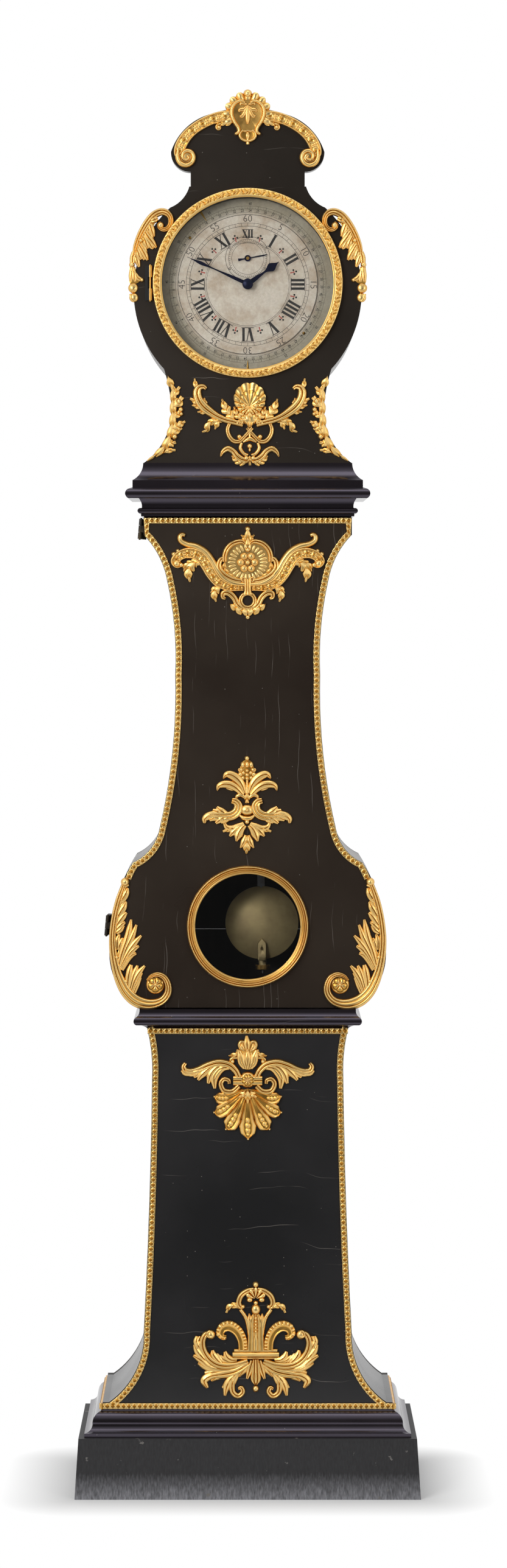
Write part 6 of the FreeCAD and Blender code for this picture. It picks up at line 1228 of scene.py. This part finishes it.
def marks(count, low, high, width, centre=(0, 0), first=0.0):
    """A ring of equal radial marks, the first one copied round."""
    piece = quad([(-width / 2, low), (width / 2, low), (width / 2, high), (-width / 2, high)])
    turn_to(piece, first)
    bpy.ops.object.mode_set(mode="EDIT")
    bpy.ops.mesh.select_all(action="SELECT")
    bpy.ops.mesh.spin(steps=count - 1, dupli=True, angle=2 * math.pi * (count - 1) / count, center=(0, 0, 0),
                      axis=(0, 0, 1))
    bpy.ops.object.mode_set(mode="OBJECT")
    return turn_to(piece, 0, centre)


def circle(radius, width, centre=(0, 0)):
    """An engraved circle."""
    bpy.ops.object.select_all(action="DESELECT")
    bpy.ops.mesh.primitive_circle_add(vertices=180, radius=(radius + width / 2) * MM, fill_type="NOTHING")
    bpy.ops.object.mode_set(mode="EDIT")
    bpy.ops.mesh.select_all(action="SELECT")
    bpy.ops.mesh.extrude_region_move()
    small = (radius - width / 2) / (radius + width / 2)
    bpy.ops.transform.resize(value=(small, small, 1))
    bpy.ops.object.mode_set(mode="OBJECT")
    return turn_to(bpy.context.object, 0, centre)


CAPITAL = 1.38  # the lettering's own measure over the height of a figure


def figure(text, size, radius, angle, centre=(0, 0), wide=0.8, bold=0.012):
    """An engraved number of that height standing on the circle, its head outwards."""
    bpy.ops.object.select_all(action="DESELECT")
    bpy.ops.object.text_add()
    piece = bpy.context.object
    piece.data.body = text
    piece.data.size = size * MM * CAPITAL
    piece.data.align_x, piece.data.align_y = "CENTER", "CENTER"
    piece.data.resolution_u = 3
    piece.data.offset = size * MM * bold
    bpy.ops.object.convert(target="MESH")
    piece = bpy.context.object
    for vertex in piece.data.vertices:
        vertex.co.x *= wide
        vertex.co.y += radius * MM
    return turn_to(piece, angle, centre)


# Roman letters: the width of each and its strokes, from one end to the other, with their thickness.
SERIF = 0.9
LETTERS = {"I": (6.3, [((0, 0), (0, 1), 3.7)]),
           "V": (12.5, [((-4.2, 1), (0.6, 0), 4.0), ((4.4, 1), (0.6, 0), 1.3)]),
           "X": (12.5, [((-4.2, 1), (4.2, 0), 4.0), ((4.2, 1), (-4.2, 0), 1.3)])}


def roman(word, low, high, angle, squeeze=1.0):
    """A Roman hour: thick and thin strokes with thin serifs, its foot towards the centre."""
    total = sum(LETTERS[letter][0] for letter in word) * squeeze
    left, pieces = -total / 2, []
    for letter in word:
        wide, strokes = LETTERS[letter][0] * squeeze, LETTERS[letter][1]
        middle = left + wide / 2
        for (x0, t0), (x1, t1), thick in strokes:
            y0, y1 = low + (high - low) * t0, low + (high - low) * t1
            x0, x1, half = middle + x0 * squeeze, middle + x1 * squeeze, thick * squeeze / 2
            pieces.append(quad([(x0 - half, y0), (x0 + half, y0), (x1 + half, y1), (x1 - half, y1)]))
        left += wide
    for foot in (low, high):
        bottom, top = foot - SERIF / 2, foot + SERIF / 2
        pieces.append(quad([(-total / 2, bottom), (total / 2, bottom), (total / 2, top), (-total / 2, top)]))
    for piece in pieces:
        turn_to(piece, angle)
    return pieces


WAX = 0.12  # the marks' thickness, just proud of the silvering


def engraved(name, pieces, front, material, body):
    """Joins marks drawn flat, gives them a thin body and stands them on the dial."""
    whole = joined(name, pieces)
    thick = whole.modifiers.new("wax", "SOLIDIFY")
    thick.thickness = WAX * MM
    thick.offset = 0.0
    bpy.ops.object.modifier_apply(modifier=thick.name)
    whole.rotation_euler = (math.pi / 2, 0, 0)
    whole.location = (0, (front - 0.05) * MM, DIAL_Z * MM)
    bpy.ops.object.transform_apply(location=True, rotation=True, scale=True)
    return settle(whole, material, body, "silvered_metal")


def dot(x, y, radius):
    """A punched dot."""
    bpy.ops.object.select_all(action="DESELECT")
    bpy.ops.mesh.primitive_circle_add(vertices=14, radius=radius * MM, fill_type="NGON")
    return turn_to(bpy.context.object, 0, (x, y))


# Fronts of the dial and of its outer ring, and the middle of the seconds circle on the dial.
DIAL, OUTER_RING = -70.0, -67.9
SECONDS = (0, 39)

# Hours: the XII is smaller, as it stands over the seconds circle.
HOURS = ["I", "II", "III", "IIII", "V", "VI", "VII", "VIII", "IX", "X", "XI"]
hours = roman("XII", 70, 82, 0, 0.66)
for k, word in enumerate(HOURS, 1):
    hours += roman(word, 65, 85, 30 * k)
engraved("hour_figures", hours, DIAL, ink, "case")

# Minutes, with the circles that bound them and the hours.
engraved("minute_figures", [figure(str(5 * k), 10.4, 98.2, 30 * k, wide=1.0, bold=-0.02) for k in range(1, 13)],
         DIAL, ink, "case")
engraved("minute_track", [circle(92, 0.5), circle(87.2, 0.6), marks(60, 87.2, 92, 0.45), circle(64, 0.4),
                          circle(62, 0.5), circle(104.4, 0.7)], DIAL, ink, "case")
engraved("seconds_track", [circle(33.2, 0.6, SECONDS), circle(28.6, 0.45, SECONDS), circle(24, 0.45, SECONDS),
                           marks(60, 26, 28.6, 0.45, SECONDS),
                           *[figure(str(10 * k), 3.8, 30.9, 60 * k, SECONDS) for k in range(1, 7)]],
         DIAL, ink, "case")

# Trefoils between the hours: three black dots on a red stem.
BETWEEN = [30 * k + 15 for k in range(12)]
engraved("trefoil_dots", [turn_to(dot(x, y, 1.5), angle) for angle in BETWEEN
                          for x, y in [(-3, 71.5), (3, 71.5), (0, 75)]], DIAL, ink, "case")
STEM = [(-0.9, 66), (0.9, 66), (0.5, 72), (-0.5, 72)]
engraved("trefoil_stems", [turn_to(quad(STEM), angle) for angle in BETWEEN]
         + [turn_to(dot(0, 71.5, 1.2), angle) for angle in BETWEEN], DIAL, red_ink, "case")

# Scale of the outer ring, which stands as it was left: 24 at the top and all of it turned a little past that.
RING_FIRST, RING_TURN = 24, 1.8
ring_numbers = [(k + RING_FIRST - 1) % 60 + 1 for k in range(60)]
engraved("ring_scale", [circle(108, 0.3), circle(113.5, 0.3), circle(117.5, 0.3),
                        marks(180, 113.5, 115.5, 0.25, first=RING_TURN),
                        marks(60, 113.5, 117.5, 0.4, first=RING_TURN),
                        *[figure(str(n), 4.2, 110.7, 6 * k + RING_TURN) for k, n in enumerate(ring_numbers)],
                        *[figure(str(5 * k), 4.0, 121, 30 * k + RING_TURN) for k in range(1, 13)]],
         OUTER_RING, ink, "calendar_ring")


# ---------------------------------------------------------------- small hardware

# Domed cap on the minute hand.
cap = joined("minute_hand_cap", [bead((0, DIAL_Z), 8, 2.6, root=-82.0)])
settle(closed(cap), blued, "minute_hand", "blued_steel")


def on_dial(radius, angle):
    """The place at that radius and angle from the dial's head, clockwise."""
    return radius * math.sin(math.radians(angle)), DIAL_Z + radius * math.cos(math.radians(angle))


# Brass pointers that read the outer ring, with a foot behind the bezel, and two pins to turn the ring by.
pointers = []
for angle in (-33, 180):
    tapered = [(*on_dial(radius, angle), width) for radius, width in [(129, 3.6), (122, 2.6), (113.5, 0.7)]]
    pointers += [stroke(tapered, None, 1.6, reeded(1), along=16, across=8, root=-68.7),
                 bead(on_dial(129.05, angle), 0.45, 3, root=-67)]
settle(closed(joined("ring_pointers", pointers)), brass, "case", "brass")
pins = [bead(on_dial(111, angle), 2.3, 2.4, root=OUTER_RING) for angle in (-51, 131)]
settle(closed(joined("ring_pins", pins)), brass, "calendar_ring", "brass")


def way_out(corners, ray):
    """How far it is from the middle to a closed outline, along each ray."""
    far = np.full(len(ray), 1e9)
    for a, b in zip(corners, np.roll(corners, -1, axis=0)):
        side = b - a
        cross = ray[:, 0] * side[1] - ray[:, 1] * side[0]
        cross = np.where(np.abs(cross) < 1e-9, 1e-9, cross)
        out = (a[0] * side[1] - a[1] * side[0]) / cross
        share = (a[0] * ray[:, 1] - a[1] * ray[:, 0]) / cross
        far = np.where((out > 0) & (share >= -EDGE) & (share <= 1 + EDGE), np.minimum(far, out), far)
    return far


def index_plate(outline, hole, thick):
    """The index plate under the bob: its outline from the middle of its screw hole, pierced by that hole."""
    low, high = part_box("pendulum_bob")
    middle_x, middle_z = (low.x + high.x) / 2 / MM, low.z / MM + 26
    piece, u, v = flat_sheet(72, 6)
    angle = 2 * math.pi * u
    ray = np.column_stack([np.sin(angle), np.cos(angle)])
    back, front = np.abs(v) > 1 - EDGE, np.abs(v) < 0.4
    spread = np.where(back, 0.5, np.where(v < 0, 0.0, 1.0))
    spread = np.where(front, 0.5 + 1.2 * v, spread)
    reach = hole + (way_out(np.array(outline, float), ray) - hole) * spread
    tall = np.where(back | (np.abs(v) > 0.6), 0.0, thick)
    press(piece, middle_x + reach * ray[:, 0], middle_z + reach * ray[:, 1], tall, 0.5 + 0 * u, low.y / MM - 1.2)
    settle(closed(piece), bob_brass, "pendulum", "brass").name = "bob_index_plate"


# Index plate under the bob: pointed at its head and pierced by a screw hole.
index_plate([(0, 16), (6.2, 9), (6.2, -18), (-6.2, -18), (-6.2, 9)], hole=1.9, thick=1.8)

# Rating nut with a milled edge: every second corner of its round stands back.
MILLING, GROOVE = 80, 0.94
low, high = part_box("rating_nut")
centre = (low + high) / 2
bpy.ops.object.select_all(action="DESELECT")
bpy.ops.mesh.primitive_cylinder_add(vertices=MILLING, radius=(high.x - low.x) / 2, depth=high.z - low.z,
                                    location=centre)
bpy.ops.object.transform_apply(location=True, rotation=True, scale=True)
knurled = bpy.context.object
knurled.name = "rating_nut_milled"
for vertex in knurled.data.vertices:
    x, y = vertex.co.x - centre.x, vertex.co.y - centre.y
    if round(math.atan2(y, x) / (2 * math.pi) * MILLING) % 2:
        vertex.co.x, vertex.co.y = centre.x + x * GROOVE, centre.y + y * GROOVE
soft_edge = knurled.modifiers.new("rounding", "BEVEL")
soft_edge.width, soft_edge.segments = 0.0006, 2
soft_edge.limit_method, soft_edge.angle_limit = "ANGLE", math.radians(60)
bpy.ops.object.modifier_apply(modifier=soft_edge.name)
settle(knurled, brass, "rating_nut", "brass", "rating_nut")


# ---------------------------------------------------------------- hanging line

# Weight line: down from the seat, round the pulley and up to the barrel, in metres.
strand = 0.0011  # its radius
low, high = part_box("weight_line")
sides = (low.x + strand, high.x - strand)
axle = sum(corner.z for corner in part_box("weight_pulley")) / 2
reel = sum(corner.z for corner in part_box("winding_barrel")) / 2
depth = (low.y + high.y) / 2
sweep = np.linspace(math.pi, 2 * math.pi, 17)
middle, reach = sum(sides) / 2, (sides[1] - sides[0]) / 2
path = ([(sides[0], z) for z in np.linspace(high.z - strand, axle, 41)[:-1]]
        + [(middle + reach * math.cos(a), axle + reach * math.sin(a)) for a in sweep]
        + [(sides[1], z) for z in np.linspace(axle, reel, 41)[1:]])
piece, u, v = flat_sheet(len(path) - 1, 10)
row = np.rint(u * (len(path) - 1)).astype(int)
way = np.gradient(np.array(path), axis=0)
way /= np.hypot(*way.T)[:, None]
around = math.pi * v
beside = np.column_stack([-way[row, 1], way[row, 0]])
spots = np.array(path)[row] + strand * np.cos(around)[:, None] * beside
round_line = np.column_stack([spots[:, 0], depth + strand * np.sin(around), spots[:, 1]])
piece.data.vertices.foreach_set("co", round_line.ravel())
piece.name = "weight_line_strands"
closed(piece)
piece.data.materials.append(gut)
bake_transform(piece)
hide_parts("weight_line")


# ---------------------------------------------------------------- studio

# White paper under and behind the clock; the room in front of it is dim.
bpy.ops.object.select_all(action="DESELECT")
bpy.ops.mesh.primitive_plane_add(size=30, location=(0, 14.2, 0))
bpy.ops.object.transform_apply(location=True, rotation=True, scale=True)
floor = bpy.context.object
floor.name = "studio_floor"
made, tree, shader, place = finish_of("studio_paper", Base_Color=colour("#f2f2f1"), Roughness=0.8)
beside = add(tree, "VectorMath", {0: place}, operation="ABSOLUTE")
past = add(tree, "VectorMath", {0: beside, 1: Vector(size_at_load[1])}, operation="SUBTRACT")
clear = add(tree, "VectorMath", {0: past}, operation="MAXIMUM")
far = add(tree, "VectorMath", {0: clear}, operation="LENGTH")
fade = add(tree, "MapRange", {"Value": far.outputs["Value"], "From Max": 0.11, "To Min": 0.15})
ray = add(tree, "LightPath")
direct = add(tree, "Math", {0: ray.outputs["Is Camera Ray"], 1: ray.outputs["Is Transmission Ray"]},
             operation="MAXIMUM")
seen = add(tree, "Math", {0: direct, 1: ray.outputs["Is Glossy Ray"]}, operation="MAXIMUM")
share = add(tree, "Math", {0: fade, 1: seen}, operation="MULTIPLY")
paper = add(tree, "Emission", {"Color": (1, 1, 1, 1), "Strength": 1.0})
both = add(tree, "MixShader", {0: share, 1: shader, 2: paper})
tree.links.new(both.outputs[0], tree.nodes["Material Output"].inputs["Surface"])
floor.data.materials.append(made)

# Air: white where it is seen, dim in front for what is mirrored, and a faint fill for the rest.
world = bpy.data.worlds.new("studio")
scene.world = world
world.use_nodes = True
tree = world.node_tree
ray = add(tree, "LightPath")
through = add(tree, "Math", {0: ray.outputs["Is Glossy Ray"], 1: ray.outputs["Is Transmission Ray"]},
              operation="MAXIMUM")
way = add(tree, "SeparateXYZ", {0: add(tree, "TexCoord").outputs["Generated"]})
room = add(tree, "MapRange", {"Value": way.outputs["Y"], "From Min": -0.95, "From Max": -0.6, "To Min": 0.06,
                              "To Max": 1.0})
shown = add(tree, "Math", {0: room, 1: through}, operation="MULTIPLY")
seen = add(tree, "Math", {0: ray.outputs["Is Camera Ray"], 1: shown}, operation="MAXIMUM")
plain = add(tree, "Math", {0: 1.0, 1: through}, operation="SUBTRACT")
fill = add(tree, "Math", {0: plain, 1: 0.35}, operation="MULTIPLY")
light = add(tree, "Math", {0: seen, 1: fill}, operation="MAXIMUM")
air = add(tree, "Background", {"Color": (1, 1, 1, 1), "Strength": light})
tree.links.new(air.outputs[0], tree.nodes["World Output"].inputs["Surface"])


def lamp(name, place, aim, size, power):
    """A soft box lamp at a place, turned to what it lights."""
    turn = (Vector(aim) - Vector(place)).to_track_quat("-Z", "Y").to_euler()
    bpy.ops.object.light_add(type="AREA", location=place, rotation=turn)
    made = bpy.context.object
    made.name = name
    made.data.shape = "RECTANGLE"
    made.data.size, made.data.size_y = size
    made.data.energy = power


# Soft boxes to the left and the right, a small one in front for the metal, and a faint one overhead.
lamp("soft_box_left", (-2.2, -3.0, 2.6), (0, 0, 1.1), (1.2, 2.2), 42)
lamp("soft_box_right", (2.4, -3.2, 1.6), (0, 0, 1.0), (1.0, 2.2), 18)
lamp("soft_box_front", (-2.1, -4.8, 2.1), (0, 0, 1.0), (0.7, 0.7), 38)
lamp("soft_box_above", (0, -1.2, 4.2), (0, 0, 1.0), (2.0, 1.2), 10)

# A level camera about 6.1 m away, 1.33 m above the floor, its picture shifted down to take in the plinth.
camera = bpy.data.cameras.new("photo_camera")
camera.sensor_fit = "VERTICAL"
camera.sensor_height = 36
camera.lens = 92.45
camera.shift_x, camera.shift_y = 0.0037, -0.1157
holder = bpy.data.objects.new("photo_camera", camera)
holder.location = (0, -6.095, 1.328)
holder.rotation_euler = (math.pi / 2, 0, 0)
scene.collection.objects.link(holder)
scene.camera = holder
scene.view_settings.view_transform = "Standard"
